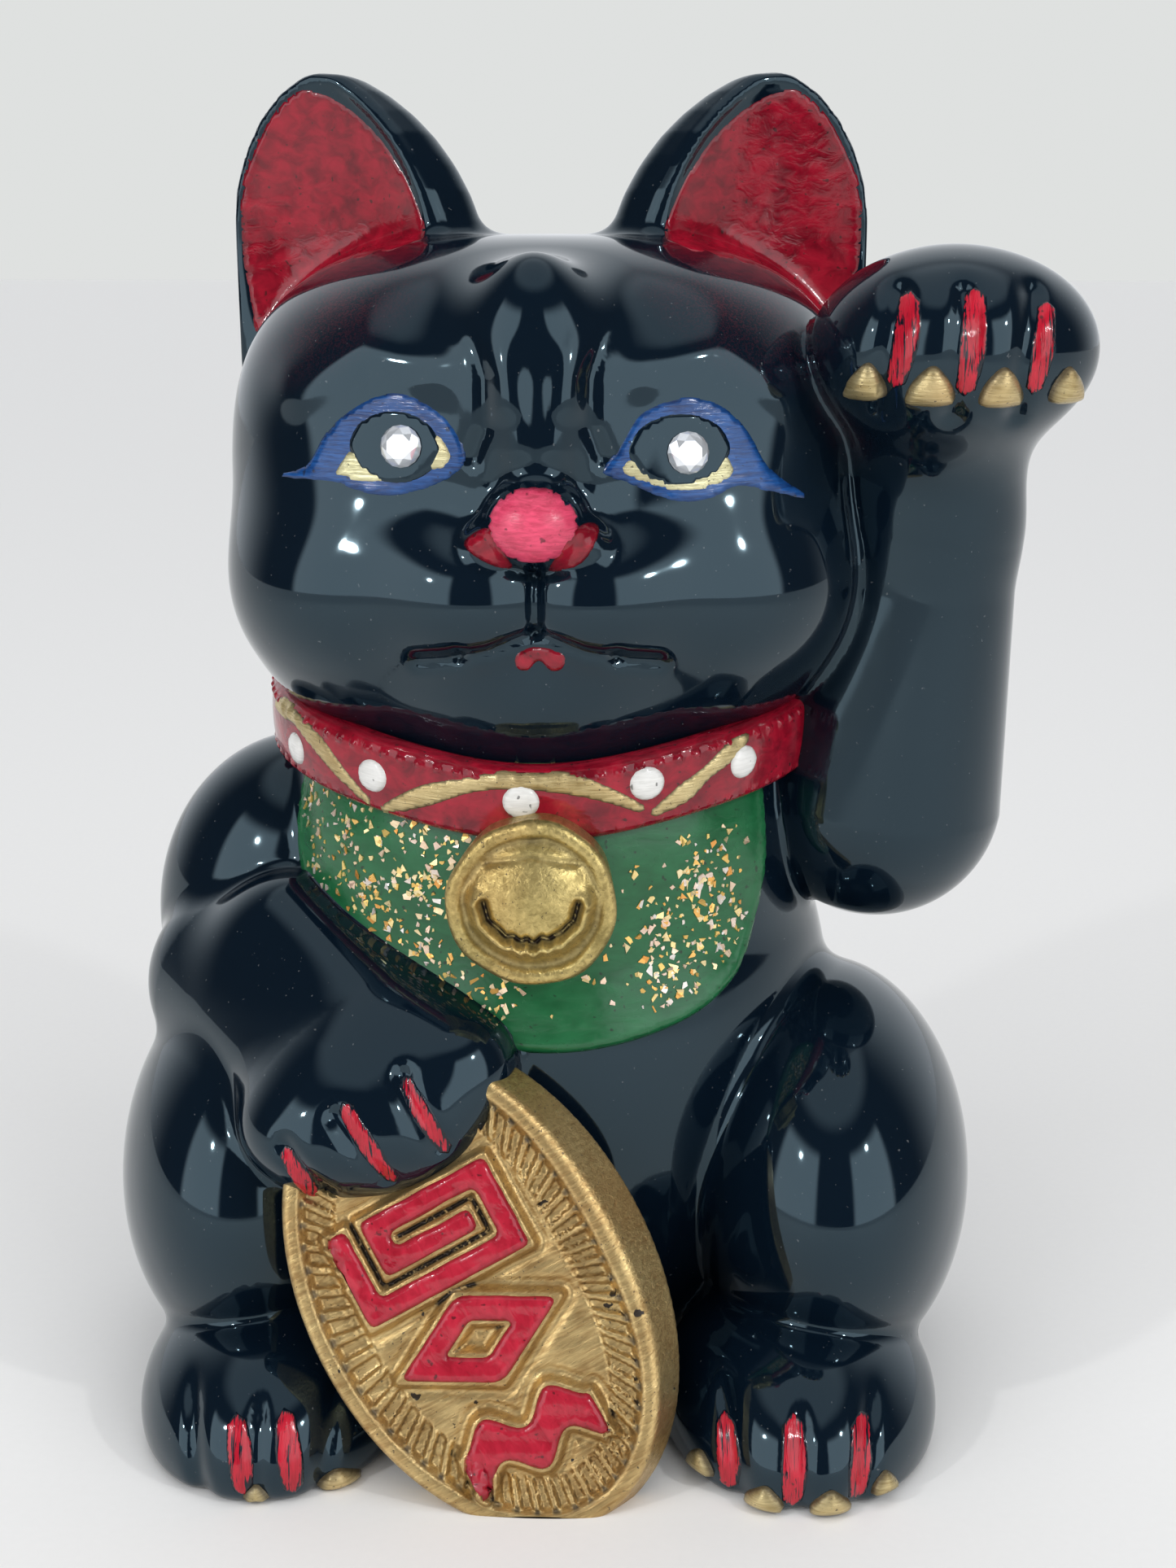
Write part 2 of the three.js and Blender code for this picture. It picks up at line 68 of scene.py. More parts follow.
def norm(v):
    return np.sqrt((v * v).sum(-1))


def unit(v):
    return v / np.linalg.norm(v)


def ellipsoid(p, centre, radii):
    q = p - vec(*centre)
    r = vec(*radii)
    k0 = norm(q / r)
    k1 = norm(q / (r * r))
    return k0 * (k0 - 1.0) / np.maximum(k1, 1e-6)


def squared_ball(p, centre, radii, plan, profile):
    """A ball whose plan and profile are squared off by their exponents."""
    q = np.abs(p - vec(*centre))
    x, y, z = q[..., 0] / radii[0], q[..., 1] / radii[1], q[..., 2] / radii[2]
    k = np.maximum(((x ** plan + y ** plan) ** (profile / plan) + z ** profile) ** (1 / profile), 1e-4)
    return (k - 1) / k * norm(q)


def limb(p, a, b, ra, rb):
    """A round bar with ball ends, tapering from a to b."""
    a, b = vec(*a), vec(*b)
    span, q = b - a, p - a
    h = np.clip((q @ span) / (span @ span), 0, 1)
    return norm(q - h[..., None] * span) - (ra + (rb - ra) * h)


def join(a, b, soft):
    h = np.clip(0.5 + 0.5 * (b - a) / soft, 0, 1)
    return b * (1 - h) + a * h - soft * h * (1 - h)


def meet(a, b, soft):
    return -join(-a, -b, soft)


def carve(a, b, soft):
    return -join(-a, b, soft)


def step(x, low, high):
    """0 below low, 1 above high, smooth between."""
    t = np.clip((x - low) / (high - low), 0, 1)
    return t * t * (3 - 2 * t)


def turn_z(degrees):
    c, s = math.cos(math.radians(degrees)), math.sin(math.radians(degrees))
    return np.array([[c, -s, 0], [s, c, 0], [0, 0, 1]], np.float32)


def turn_x(degrees):
    c, s = math.cos(math.radians(degrees)), math.sin(math.radians(degrees))
    return np.array([[1, 0, 0], [0, c, -s], [0, s, c]], np.float32)


def to_line(u, w, points):
    """Distance in the (u, w) plane to an open line through points."""
    best = np.full(u.shape, 1e9, np.float32)
    for (ax, ay), (bx, by) in zip(points, points[1:]):
        ex, ey = bx - ax, by - ay
        t = np.clip(((u - ax) * ex + (w - ay) * ey) / (ex * ex + ey * ey), 0, 1)
        best = np.minimum(best, (u - ax - t * ex) ** 2 + (w - ay - t * ey) ** 2)
    return np.sqrt(best)


def plate(u, w, corners):
    """Signed distance in the (u, w) plane to a convex outline, its corners counter-clockwise."""
    edge = to_line(u, w, (*corners, corners[0]))
    inside = np.ones(u.shape, bool)
    for (ax, ay), (bx, by) in zip(corners, (*corners[1:], corners[0])):
        inside &= (bx - ax) * (w - ay) > (by - ay) * (u - ax)
    return np.where(inside, -edge, edge)


def rounded(corners, reach, steps=2):
    """A closed outline with each corner bent into a curve, starting up to reach away from it."""
    out = []
    for before, corner, after in zip((corners[-1], *corners[:-1]), corners, (*corners[1:], corners[0])):
        corner = np.array(corner, float)
        ends = []
        for other in (before, after):
            along = np.array(other, float) - corner
            length = max(float(np.linalg.norm(along)), 1e-6)
            ends.append(corner + along / length * min(reach, length / 2))
        for t in np.linspace(0, 1, steps + 1):
            out.append((1 - t) ** 2 * ends[0] + 2 * t * (1 - t) * corner + t * t * ends[1])
    return tuple(tuple(a) for a, b in zip(out, (*out[1:], out[0])) if np.linalg.norm(a - b) > 0.01)


def dent(u, w, centre, radii):
    """A soft dent or swelling of height 1, round about centre."""
    return np.exp(-((u - centre[0]) / radii[0]) ** 2 - ((w - centre[1]) / radii[1]) ** 2)


def line_dent(u, w, points, width):
    return np.exp(-(to_line(u, w, points) / width) ** 2)


# ==== The figure's forms =================================================================

WALL = 4.5
FLOOR_WALL = 6.0
BODY = ((0, 0, 60), (55, 55, 72))
CHEST = ((0, -2, 103), (48, 48, 30))
CHEST_CHAMBER = (48 - WALL, 48 - WALL, 26)
BODY_SOFT = 10
SLOT_HALF = (19, 2.75)
SLOT_Z = 100
HOLE_RADIUS = 13.0
RECESS_RADIUS = 18.0
RECESS_DEPTH = 3.0


def swell(d, p, forms):
    """Joins ellipsoids to a field: each has its centre, its radii and how soft the joint is."""
    for centre, radii, soft in forms:
        d = join(d, ellipsoid(p, centre, radii), soft)
    return d


def mirrored(p):
    q = p.copy()
    q[..., 0] = np.abs(q[..., 0])
    return q


def sided(p, side):
    q = p.copy()
    q[..., 0] *= side
    return q


FACE_X = 1.0      # the face is painted and modelled a little off the head's middle

# Lines modelled in the face, alike on both sides: how deep (negative stands out), how wide, and where.
BROW_LINES = ((1.0, 1.6, ((10.4, 176), (8.6, 181), (8.5, 189), (10.6, 195.5), (12.5, 201))),
              (-1.1, 3.0, ((3.8, 178), (4.4, 187), (6.6, 198))),
              (0.4, 2.4, ((0, 183), (0, 202))))
FACE_LINES = ((-1.0, 5, ((18, 190), (29, 193), (42, 187))),
              (0.8, 2.2, ((5.6, 181), (6.4, 172))),
              (0.8, 1.1, ((4.2, 158.8), (0, 156.9))),
              (0.9, 1.1, ((0, 156.9), (0, 147.5))),
              (0.8, 1.2, ((0, 147.5), (4, 146.3), (8, 144.6), (13, 143.6))),
              (1.2, 1.7, ((13.5, 143.3), (20, 142.3))))
SOCKET = ((25, 178), (14, 9), 1.3)
EYEBALL = ((23.5, 177), (9.5, 6.5), -1.0)


def face_relief(p):
    """How far the face's modelling lies below the plain head."""
    m, w = np.abs(p[..., 0] - FACE_X), p[..., 2]
    relief = sum(depth * line_dent(m, w, route, width) for depth, width, route in BROW_LINES)
    relief = relief * (1 - step(w, 187, 199))
    relief += sum(depth * line_dent(m, w, route, width) for depth, width, route in FACE_LINES)
    relief += sum(depth * dent(m, w, centre, radii) for centre, radii, depth in (SOCKET, EYEBALL))
    return relief * step(-p[..., 1], 25, 40)


SKULL = ((0, -5, 165), (57.5, 49, 46))
SKULL_PLAN = 2.3
SKULL_PROFILE = 3.0
HEAD_FORMS = (((27, -28, 151), (26, 27, 20), 12),       # cheeks
              ((0, -14, 139), (47, 37, 19), 8),         # jaw
              ((10, -50, 152), (14, 13, 11), 10),       # muzzle
              ((0, -42, 136), (18, 12, 12), 10),        # chin
              ((0, -46, 186), (10, 10.5, 22), 12))      # brow
NOSE_BRIDGE = ((0, -55, 169), (0, -51, 183), 3.0, 2.6)
NOSE_FORM = ((-0.3, -59.5, 165.5), (8.2, 7.5, 6.6), 3.5)
NOSTRIL_FORM = ((8.0, -57.0, 162.0), (3.8, 4.2, 3.2), 3)


def head(p):
    q = mirrored(p)
    d = swell(squared_ball(q, *SKULL, SKULL_PLAN, SKULL_PROFILE), q, HEAD_FORMS)
    d = d + face_relief(p)
    f = p - vec(FACE_X, 0, 0)
    d = join(d, limb(f, *NOSE_BRIDGE), 6)
    d = swell(d, f, (NOSE_FORM,))
    return swell(d, mirrored(f), (NOSTRIL_FORM,))


EAR_TURN = -25.0
EAR_ROOT = (37.0, 3.0, 200.0)
EAR_OUTLINE = rounded(((16, -26), (16.6, 18), (12.3, 28), (5, 33.8), (0, 30.9), (-7, 24.5), (-13, 15.7),
                       (-16, 7), (-18, -20)), 4.6)


def ear_place(p, side):
    """Into an ear's own axes: outwards, backwards and up."""
    return (sided(p, side) - vec(*EAR_ROOT)) @ turn_z(-EAR_TURN)


def ear(p, side):
    q = ear_place(p, side)
    v, w = q[..., 1], q[..., 2]
    u = q[..., 0] + 0.5 * (v + 5)
    outline = plate(u, w, EAR_OUTLINE)
    outer = meet(meet(outline - 7, ellipsoid(q, (-4, -5, 0), (34, 17, 46)), 7), -(v + 5), 3)
    hollow = meet(outline - 5.4, ellipsoid(q, (1, -22, 8), (30, 23, 46)), 1.5)
    return carve(outer, hollow, 1.4)


def torso(p):
    d = join(ellipsoid(p, *BODY), ellipsoid(p, *CHEST), BODY_SOFT)
    neck = squared_ball(p, (0, -3, 118), (45.5, 46, 24), 2, 5)
    return join(d, neck, 5)


def on_floor(d, p, soft):
    return meet(d, -p[..., 2], soft)


def haunch(p, side):
    return ellipsoid(sided(p, side), (53, -18, 38), (27.5, 47, 38))


FOOT_GROOVES = ((35.0, -1.5), (46.5, 0.0), (57.5, 1.5))


def foot(p, side):
    q = sided(p, side)
    d = ellipsoid(q, (47.5, -49, 5), (25, 35, 20))
    lean = q[..., 2] - 10
    front = step(-p[..., 1], 55, 68) * step(20 - q[..., 2], 0, 6)
    for x, slope in FOOT_GROOVES:
        d = d + 1.3 * front * np.exp(-((q[..., 0] - x - slope * lean / 10) / 2.0) ** 2)
    return d


PAW_GROOVES = ((60.3, 57.8), (70.6, 69.2), (81.7, 79.8))


RAISED_ELBOW = (69, -15, 160)
RAISED_PAW = ((71.0, -32, 192.4), (24.6, 21, 17.4), 9)


def raised_arm(p):
    d = limb(p, (62, -10, 109), RAISED_ELBOW, 23.5, 17)
    d = swell(join(d, limb(p, RAISED_ELBOW, (71, -24, 188), 17, 16), 4), p, (RAISED_PAW,))
    u, w = p[..., 0], p[..., 2]
    front = step(-p[..., 1], 36, 46)
    for top, low in PAW_GROOVES:
        d = d + 1.4 * front * line_dent(u, w, ((top, 202), (low, 189), (low, 183)), 2.1)
    return d


LOW_PAW_GROOVES = (((-41.0, 62.0), (-35.0, 53.0)), ((-32.5, 67.0), (-24.5, 56.0)),
                   ((-21.5, 72.5), (-15.5, 61.0)))


LOW_PAW_FORMS = (((-26, -60, 62), (17, 14, 13), 8), ((-37.5, -60, 60.5), (13, 14, 9.5), 8))


def lowered_arm(p):
    shoulder = ellipsoid(p, (-47, 0, 82), (29.5, 27, 35))
    d = swell(limb(p, (-56, -16, 72), (-33, -52, 64), 20, 17), p, LOW_PAW_FORMS)
    d = join(d, limb(p, (-46, -28, 84), (-13.5, -57, 70.5), 13, 10.5), 9)
    u, w = p[..., 0], p[..., 2]
    front = step(-p[..., 1], 56, 66)
    for top, low in LOW_PAW_GROOVES:
        d = d + 1.3 * front * line_dent(u, w, (top, low), 1.9)
    return join(d, shoulder, 2.5)


TAIL_BEND = (14, 56, 24)


def tail(p):
    return join(limb(p, (-4, 52, 15), TAIL_BEND, 11, 9.5), limb(p, TAIL_BEND, (22, 55, 37), 9.5, 7), 4)


def backing(p):
    """The clay between the coin and the belly."""
    return limb(p, (-4, -52, 20), (-14, -46, 52), 22, 18)


def parts(p):
    """Every casting's own field, by the name of its node."""
    fields = {"torso_shell": on_floor(torso(p), p, 4), "head_shell": head(p)}
    for name, side in (("left", 1), ("right", -1)):
        fields[f"ear_{name}"] = ear(p, side)
        fields[f"haunch_{name}"] = on_floor(haunch(p, side), p, 4)
        fields[f"foot_{name}"] = on_floor(foot(p, side), p, 2.5)
    fields["raised_arm"] = raised_arm(p)
    fields["lowered_arm"] = lowered_arm(p)
    fields["tail"] = tail(p)
    return fields


SEAMS = {"head_shell": 5, "ear_left": 4, "ear_right": 4, "haunch_left": 4, "haunch_right": 4,
         "foot_left": 2.5, "foot_right": 2.5, "raised_arm": 3, "lowered_arm": 3, "tail": 4}


def skin(p):
    """The outer glazed surface of the whole figure."""
    fields = parts(p)
    d = join(fields["torso_shell"], on_floor(backing(p), p, 2), 6)
    for name, soft in SEAMS.items():
        d = join(d, fields[name], soft)
    return d


def casting(p):
    """The fired clay: the skin less the coin chamber, the slot and the stopper's hole."""
    chamber = join(ellipsoid(p, BODY[0], [r - WALL for r in BODY[1]]),
                   ellipsoid(p, CHEST[0], CHEST_CHAMBER), BODY_SOFT)
    chamber = meet(chamber, FLOOR_WALL - p[..., 2], 2)
    d = carve(skin(p), chamber, 0.5)
    across, up = SLOT_HALF
    slot = np.maximum(np.abs(p[..., 0]) - across, np.abs(p[..., 2] - SLOT_Z) - up)
    d = carve(d, np.maximum(slot, -p[..., 1]), 1.2)
    r = norm(p[..., :2])
    hole = np.maximum(r - HOLE_RADIUS, np.abs(p[..., 2]) - FLOOR_WALL - RECESS_DEPTH)
    recess = np.maximum(r - RECESS_RADIUS, np.abs(p[..., 2]) - RECESS_DEPTH)
    return carve(d, np.minimum(hole, recess), 0.6)


# ==== Collar, bell and coin ==============================================================

COLLAR_AT = (0.0, -3.0, 123.5)
COLLAR_TILT = 6.0
COLLAR_RADIUS = 51.5
COLLAR_MIDDLE = 49.0      # radius at the middle of its wall
COLLAR_HALF_WALL = 2.5
COLLAR_HALF = 6.8
COLLAR_STITCHES = 92
bell_low, bell_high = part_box("bell")
BELL_X = ((bell_low[0] + bell_high[0]) / 2 - AXIS[0]) / MM
BELL_Z = ((bell_low[2] + bell_high[2]) / 2 - AXIS[2]) / MM
BELL_RIM_Y = -60.0
COIN_AT = (-8.6, -85.0, 0.0)
COIN_RISE = 38.5
COIN_LEAN = 15.0
COIN_TURN = 29.0
COIN_RADII = (30.0, 45.8)
COIN_RIM = 3.0
COIN_SINK = 1.4
COIN_THICK = 8.0
COIN_SLOPE = 0.8      # how far the wall leans out on the coin's open side
COIN_SLOPE_DEEP = 7.0      # and how far below the face it starts
COIN_MARKS = 58


def collar_place(p):
    return (p - vec(*COLLAR_AT)) @ turn_x(COLLAR_TILT)


def collar(p):
    """A crowned band with a row of small stitches near each edge."""
    q = collar_place(p)
    r = norm(q[..., :2])
    angle = np.arctan2(q[..., 0], -q[..., 1])
    z = q[..., 2] - 1.6 + 3.3 * np.exp(-(angle / 0.5) ** 2)
    crown = 0.7 * (1 - (z / COLLAR_HALF) ** 2)
    stitch = step(np.sin(angle * COLLAR_STITCHES), 0.0, 0.7)
    stitch = stitch * (np.exp(-((z - 4.9) / 0.6) ** 2) + 0.7 * np.exp(-((z + 5.2) / 0.5) ** 2))
    out = np.abs(r - COLLAR_MIDDLE) - COLLAR_HALF_WALL - 0.45 * stitch - np.where(r > COLLAR_MIDDLE, crown, 0)
    return meet(out, np.abs(z) - COLLAR_HALF, 2.2)


def bell(p):
    """A round bell in relief: rim, domed face, a lip that curls up at its ends, and a loop."""
    a, b = p[..., 0] - BELL_X, p[..., 2] - BELL_Z
    c = BELL_RIM_Y - p[..., 1]
    turn = np.arctan2(b, a)
    r = np.sqrt(a * a + b * b) + 0.22 * np.sin(3 * turn + 1) + 0.12 * np.sin(8 * turn)
    back = meet(r - 14.0, np.abs(c + 3) - 4.2, 1.2)
    rim = np.sqrt((r - 13.0) ** 2 + (c - 1.1) ** 2) - 1.5
    dome = ellipsoid(np.stack([a, b, c], -1), (0, 0.3, -1.5), (12.3, 11.6, 7.6))
    d = join(join(back, rim, 1.0), dome, 1.2)
    lip = ((-9.6, 0.6), (-8.6, -3.2), (-5.2, -6.4), (0, -7.7), (5.2, -6.4), (8.6, -3.2), (9.6, 0.6))
    groove = tuple((x * 0.84, z * 0.80 + 0.3) for x, z in lip)
    scallop = 0.35 * np.sin(a * 2.6) * np.exp(-(a / 4.5) ** 2)
    height = 1.6 * line_dent(a, b + scallop, lip, 1.1)
    height -= 1.5 * line_dent(a, b + scallop, groove, 0.8)
    height += 1.1 * dent(a, b, (-9.5, 1.8), (1.5, 1.5)) + 1.1 * dent(a, b, (9.5, 1.8), (1.5, 1.5))
    height -= 0.5 * line_dent(a, b, ((-7.5, 7.3), (0, 8.8), (7.5, 7.3)), 0.6)
    d = d - height * step(c, 0, 2)
    return join(d, ellipsoid(np.stack([a, b, c], -1), (0, 13.3, 1.6), (2.6, 1.5, 1.6)), 0.8)


def coin_place(p):
    """Into the coin's own axes: across, along and out of its face."""
    q = p - vec(*COIN_AT)
    q = q @ turn_x(90 - COIN_LEAN)
    return (q - vec(0, COIN_RISE, 0)) @ turn_z(COIN_TURN)


def from_coin(a, b):
    """Rays straight down onto the coin's face."""
    turn = turn_z(COIN_TURN).T @ turn_x(90 - COIN_LEAN).T
    start = np.stack([a, b, np.full_like(a, 20)], -1) @ turn_z(COIN_TURN).T + vec(0, COIN_RISE, 0)
    start = start @ turn_x(90 - COIN_LEAN).T + vec(*COIN_AT)
    return start, np.repeat((vec(0, 0, -1) @ turn)[None], len(a), 0)


RELIEF_ACROSS = 31.0
RELIEF_SIZE = 17.0
RELIEF_STROKE = 4.0
RELIEF_PITCH = 18.5
RELIEF_ASIDE = -4.0
RELIEF_SHIFT = -7.5


def fret_outline():
    """A square spiral of one stroke."""
    half, s = RELIEF_ACROSS / 2, RELIEF_STROKE
    turn = (RELIEF_SIZE - s) / 2
    low = RELIEF_PITCH + RELIEF_SHIFT - RELIEF_SIZE / 2
    high = low + RELIEF_SIZE
    corners = ((-half, low), (half, low), (half, high), (-half + turn, high), (-half + turn, low + turn),
               (half - turn, low + turn), (half - turn, low + turn + s), (-half + turn + s, low + turn + s),
               (-half + turn + s, high - s), (half - s, high - s), (half - s, low + s), (-half + s, low + s),
               (-half + s, high), (-half, high))
    return tuple((u + RELIEF_ASIDE, v) for u, v in corners)


def lozenge_outline(scale=1.0):
    x, y = scale * RELIEF_ACROSS / 2, scale * RELIEF_SIZE / 2
    return tuple((u + RELIEF_ASIDE, v + RELIEF_SHIFT) for u, v in ((-x, 0), (0, -y), (x, 0), (0, y)))


LOZENGE_HOLE = 1 - RELIEF_STROKE * 1.25 / (RELIEF_SIZE / 2)


def waves_outline():
    across, crests = RELIEF_ACROSS * 0.8, 2
    rise = (RELIEF_SIZE - 2 * RELIEF_STROKE) / 4
    x = np.linspace(-across / 2, across / 2, 12 * crests + 1)
    middle = RELIEF_SHIFT - RELIEF_PITCH - rise * np.cos(2 * np.pi * crests * (x / across + 0.5))
    low = np.column_stack([x + RELIEF_ASIDE, middle - RELIEF_STROKE])
    high = np.column_stack([x + RELIEF_ASIDE, middle + RELIEF_STROKE])
    return tuple(map(tuple, np.vstack([low, high[::-1]])))


def to_shape(u, w, corners):
    """Signed distance in the (u, w) plane to a closed outline of any shape."""
    corners = [tuple(c) for c in corners]
    edge = to_line(u, w, corners + corners[:1])
    flat = np.stack([u.ravel(), w.ravel()], -1)
    return np.where(inside(flat, np.array(corners)).reshape(u.shape), -edge, edge)


def coin(p):
    """An oval plate with a sloping wall, a raised rim, a ring of tool marks and a bed for the ornament."""
    q = coin_place(p)
    a, b, c = q[..., 0], q[..., 1], q[..., 2]
    ra, rb = COIN_RADII
    r = np.sqrt((a / ra) ** 2 + (b / rb) ** 2)
    outer = r * (r - 1) / np.maximum(np.sqrt((a / ra ** 2) ** 2 + (b / rb ** 2) ** 2), 1e-4)
    slope = COIN_SLOPE * (0.5 + 0.5 * a / np.maximum(np.sqrt(a * a + b * b), 1e-3)) ** 1.5
    edge = outer + slope * COIN_SLOPE_DEEP
    wall = (outer + slope * np.clip(c + COIN_SLOPE_DEEP, 0, COIN_THICK)) / np.sqrt(1 + slope * slope)
    d = meet(wall, np.abs(c + COIN_THICK / 2) - COIN_THICK / 2, 1.4)
    d = carve(d, meet(edge + COIN_RIM, -(c + COIN_SINK), 1.5), 1.0)
    around = np.arctan2(b / rb, a / ra)
    marks = step(np.sin(around * COIN_MARKS + 0.8 * np.sin(around * 5)), -0.35, 0.75)
    ring = step(-edge, 3.2, 4.2) * (1 - step(-edge, 8.2, 9.6))
    height = 1.25 * marks * ring - 0.75 * ring
    bed = np.minimum(to_shape(a, b, fret_outline()),
                     np.maximum(to_shape(a, b, lozenge_outline()),
                                -to_shape(a, b, lozenge_outline(LOZENGE_HOLE))))
    bed = np.minimum(bed, to_shape(a, b, waves_outline()))
    height += 1.6 * (1 - step(bed, 0.3, 1.6)) - 0.5 * np.exp(-((bed - 2.2) / 0.8) ** 2)
    height += 0.12 * np.sin(a * 0.7 + b * 0.4) * np.sin(b * 0.9)
    return d - height * step(c, -3.5, -2.2) * step(-edge, COIN_RIM - 0.6, COIN_RIM + 0.8)


# ==== From fields to meshes ==============================================================


def gradient(field, p, reach=0.25):
    n = np.zeros_like(p)
    for k in range(3):
        offset = np.zeros(3, np.float32)
        offset[k] = reach
        n[:, k] = field(p + offset) - field(p - offset)
    return n / np.maximum(norm(n)[:, None], 1e-6)


def surface_of(field, low, high, voxel, blocks=5):
    """Quads of a field's zero surface: a coarse pass finds the blocks that the surface crosses."""
    low, high = vec(*low), vec(*high)
    counts = np.ceil((high - low) / (voxel * blocks)).astype(int)
    cells = np.stack(np.meshgrid(*[np.arange(n) for n in counts], indexing="ij"), -1).reshape(-1, 3)
    size = voxel * blocks
    coarse = np.concatenate([field(low + (chunk + 0.5) * size)
                             for chunk in np.array_split(cells.astype(np.float32), 8)])
    dense = np.repeat(np.repeat(np.repeat(
        np.sign(coarse).reshape(counts), blocks, 0), blocks, 1), blocks, 2).astype(np.float32)
    dense *= 3 * voxel
    near = cells[np.abs(coarse) < size * 1.25]
    inner = np.stack(np.meshgrid(*[np.arange(blocks)] * 3, indexing="ij"), -1).reshape(-1, 3)
    for chunk in np.array_split(near, max(1, len(near) * blocks ** 3 // 400000)):
        at = (chunk[:, None] * blocks + inner[None]).reshape(-1, 3)
        values = field(low + (at.astype(np.float32) + 0.5) * voxel)
        dense[at[:, 0], at[:, 1], at[:, 2]] = values
    grid = vdb.FloatGrid(3 * voxel)
    grid.copyFromArray(np.ascontiguousarray(np.clip(dense, -3 * voxel, 3 * voxel)))
    points, quads = grid.convertToQuads()
    points = low + (points.astype(np.float32) + 0.5) * voxel
    for _ in range(3):
        points = points - gradient(field, points) * np.clip(field(points), -voxel, voxel)[:, None]
    return points, quads


def linked(name, data):
    """A new object in the scene."""
    obj = bpy.data.objects.new(name, data)
    bpy.context.scene.collection.objects.link(obj)
    return obj


def new_piece(name, points, faces, material, smooth=True, normals=None, **values):
    """A mesh from points in millimetres in the figure's axes, with its values stored at its points."""
    mesh = bpy.data.meshes.new(name)
    points = np.asarray(points, float)
    points[:, 2] = np.maximum(points[:, 2], 0)
    mesh.from_pydata((points * MM + AXIS).tolist(), [], [list(map(int, f)) for f in faces])
    mesh.validate()
    mesh.polygons.foreach_set("use_smooth", [smooth] * len(mesh.polygons))
    for key, value in values.items():
        value = np.asarray(value, np.float32)
        kind, field = ("FLOAT", "value") if value.ndim == 1 else ("FLOAT_VECTOR", "vector")
        mesh.attributes.new(key, kind, "POINT").data.foreach_set(field, value.ravel())
    if normals is not None:
        mesh.normals_split_custom_set_from_vertices(np.asarray(normals, float).tolist())
    mesh.update()
    mesh.materials.append(material)
    return linked(name, mesh)


def facing_out(points, faces, normals):
    a, b, c = points[faces[:, 0]], points[faces[:, 1]], points[faces[:, 2]]
    if np.median((np.cross(b - a, c - b) * normals[faces[:, 0]]).sum(-1)) < 0:
        return faces[:, ::-1]
    return faces


def sculpted(name, field, low, high, voxel, material, grain=None, reach=0.9):
    """A whole piece from a field; hollow is 1 deep in its recesses."""
    points, quads = surface_of(field, low, high, voxel)
    normals = gradient(field, points)
    hollow = np.clip(1 - field(points + normals * reach) / reach, 0, 1)
    at = points if grain is None else grain(points)
    return new_piece(name, points, facing_out(points, quads, normals), material, normals=normals,
                     hollow=hollow, grain=at)


CHAMBER_DEEP = 1.5      # faces further than this below the skin are the chamber's


def castings(material):
    """The glazed ceramic, one piece for each casting, with one continuous surface."""
    points, quads = surface_of(casting, (-92, -92, -4), (102, 74, 246), VOXEL)
    normals = gradient(casting, points)
    quads = facing_out(points, quads, normals)
    middle = points[quads].mean(1)
    fields = parts(middle)
    names = list(fields)
    owner = np.argmin(np.stack([fields[n] for n in names]), 0)
    owner[skin(middle) < -CHAMBER_DEEP] = names.index("torso_shell")
    pieces = {}
    for index, name in enumerate(names):
        mine = quads[owner == index]
        used, local = np.unique(mine, return_inverse=True)
        pieces[name] = new_piece(f"{name}_glaze", points[used], local.reshape(mine.shape), material,
                                 normals=normals[used])
    return pieces


# ==== Enamel films =======================================================================


def trace(field, origins, directions, reach=200.0):
    """Where rays first meet a field's surface."""
    t = np.zeros(len(origins), np.float32)
    for _ in range(60):
        t = np.minimum(t + 0.8 * field(origins + directions * t[:, None]), reach)
    return origins + directions * t[:, None]


def laid(field, rays, flat):
    """Where a flat pattern's points meet a field's surface along their rays, and the normals there."""
    start, direction = rays(*flat.astype(np.float32).T)
    base = trace(field, start.astype(np.float32), direction.astype(np.float32))
    return base, gradient(field, base)


def from_front(a, b):
    """Rays straight back from the plane in front of the figure."""
    return np.stack([a, np.full_like(a, -110), b], -1), np.repeat(vec(0, 1, 0)[None], len(a), 0)


def from_round(a, b, centre=(0.0, -2.0, 0.0), radius=50.0, tilt=0.0):
    """Rays inwards to an upright axis: a is measured round it, 0 in front, and b is the height."""
    angle = a / radius
    out = np.stack([np.sin(angle), -np.cos(angle), np.zeros_like(a)], -1)
    start = (out * 1.6 * radius + b[:, None] * vec(0, 0, 1)) @ turn_x(tilt).T + vec(*centre)
    return start, -out @ turn_x(tilt).T


def from_collar(a, b):
    return from_round(a, b, COLLAR_AT, COLLAR_RADIUS, COLLAR_TILT)


def from_ear(side):
    """Rays straight into an ear's dish."""
    def rays(a, b):
        back = turn_z(-EAR_TURN).T
        start = (np.stack([a, np.full_like(a, -60), b], -1) @ back + vec(*EAR_ROOT)) * vec(side, 1, 1)
        return start, np.repeat((vec(0, 1, 0) @ back * vec(side, 1, 1))[None], len(a), 0)
    return rays


def curve(points, closed=True, steps=8):
    """A smooth line through a few points."""
    pts = np.asarray(points, float)
    n = len(pts)
    out = []
    for i in range(n if closed else n - 1):
        around = [(i + k) % n if closed else min(max(i + k, 0), n - 1) for k in (-1, 0, 1, 2)]
        p0, p1, p2, p3 = pts[around]
        for s in range(steps):
            t = s / steps
            out.append(0.5 * (2 * p1 + (p2 - p0) * t + (2 * p0 - 5 * p1 + 4 * p2 - p3) * t * t
                              + (3 * p1 - p0 - 3 * p2 + p3) * t ** 3))
    if not closed:
        out.append(pts[-1])
    return np.array(out)


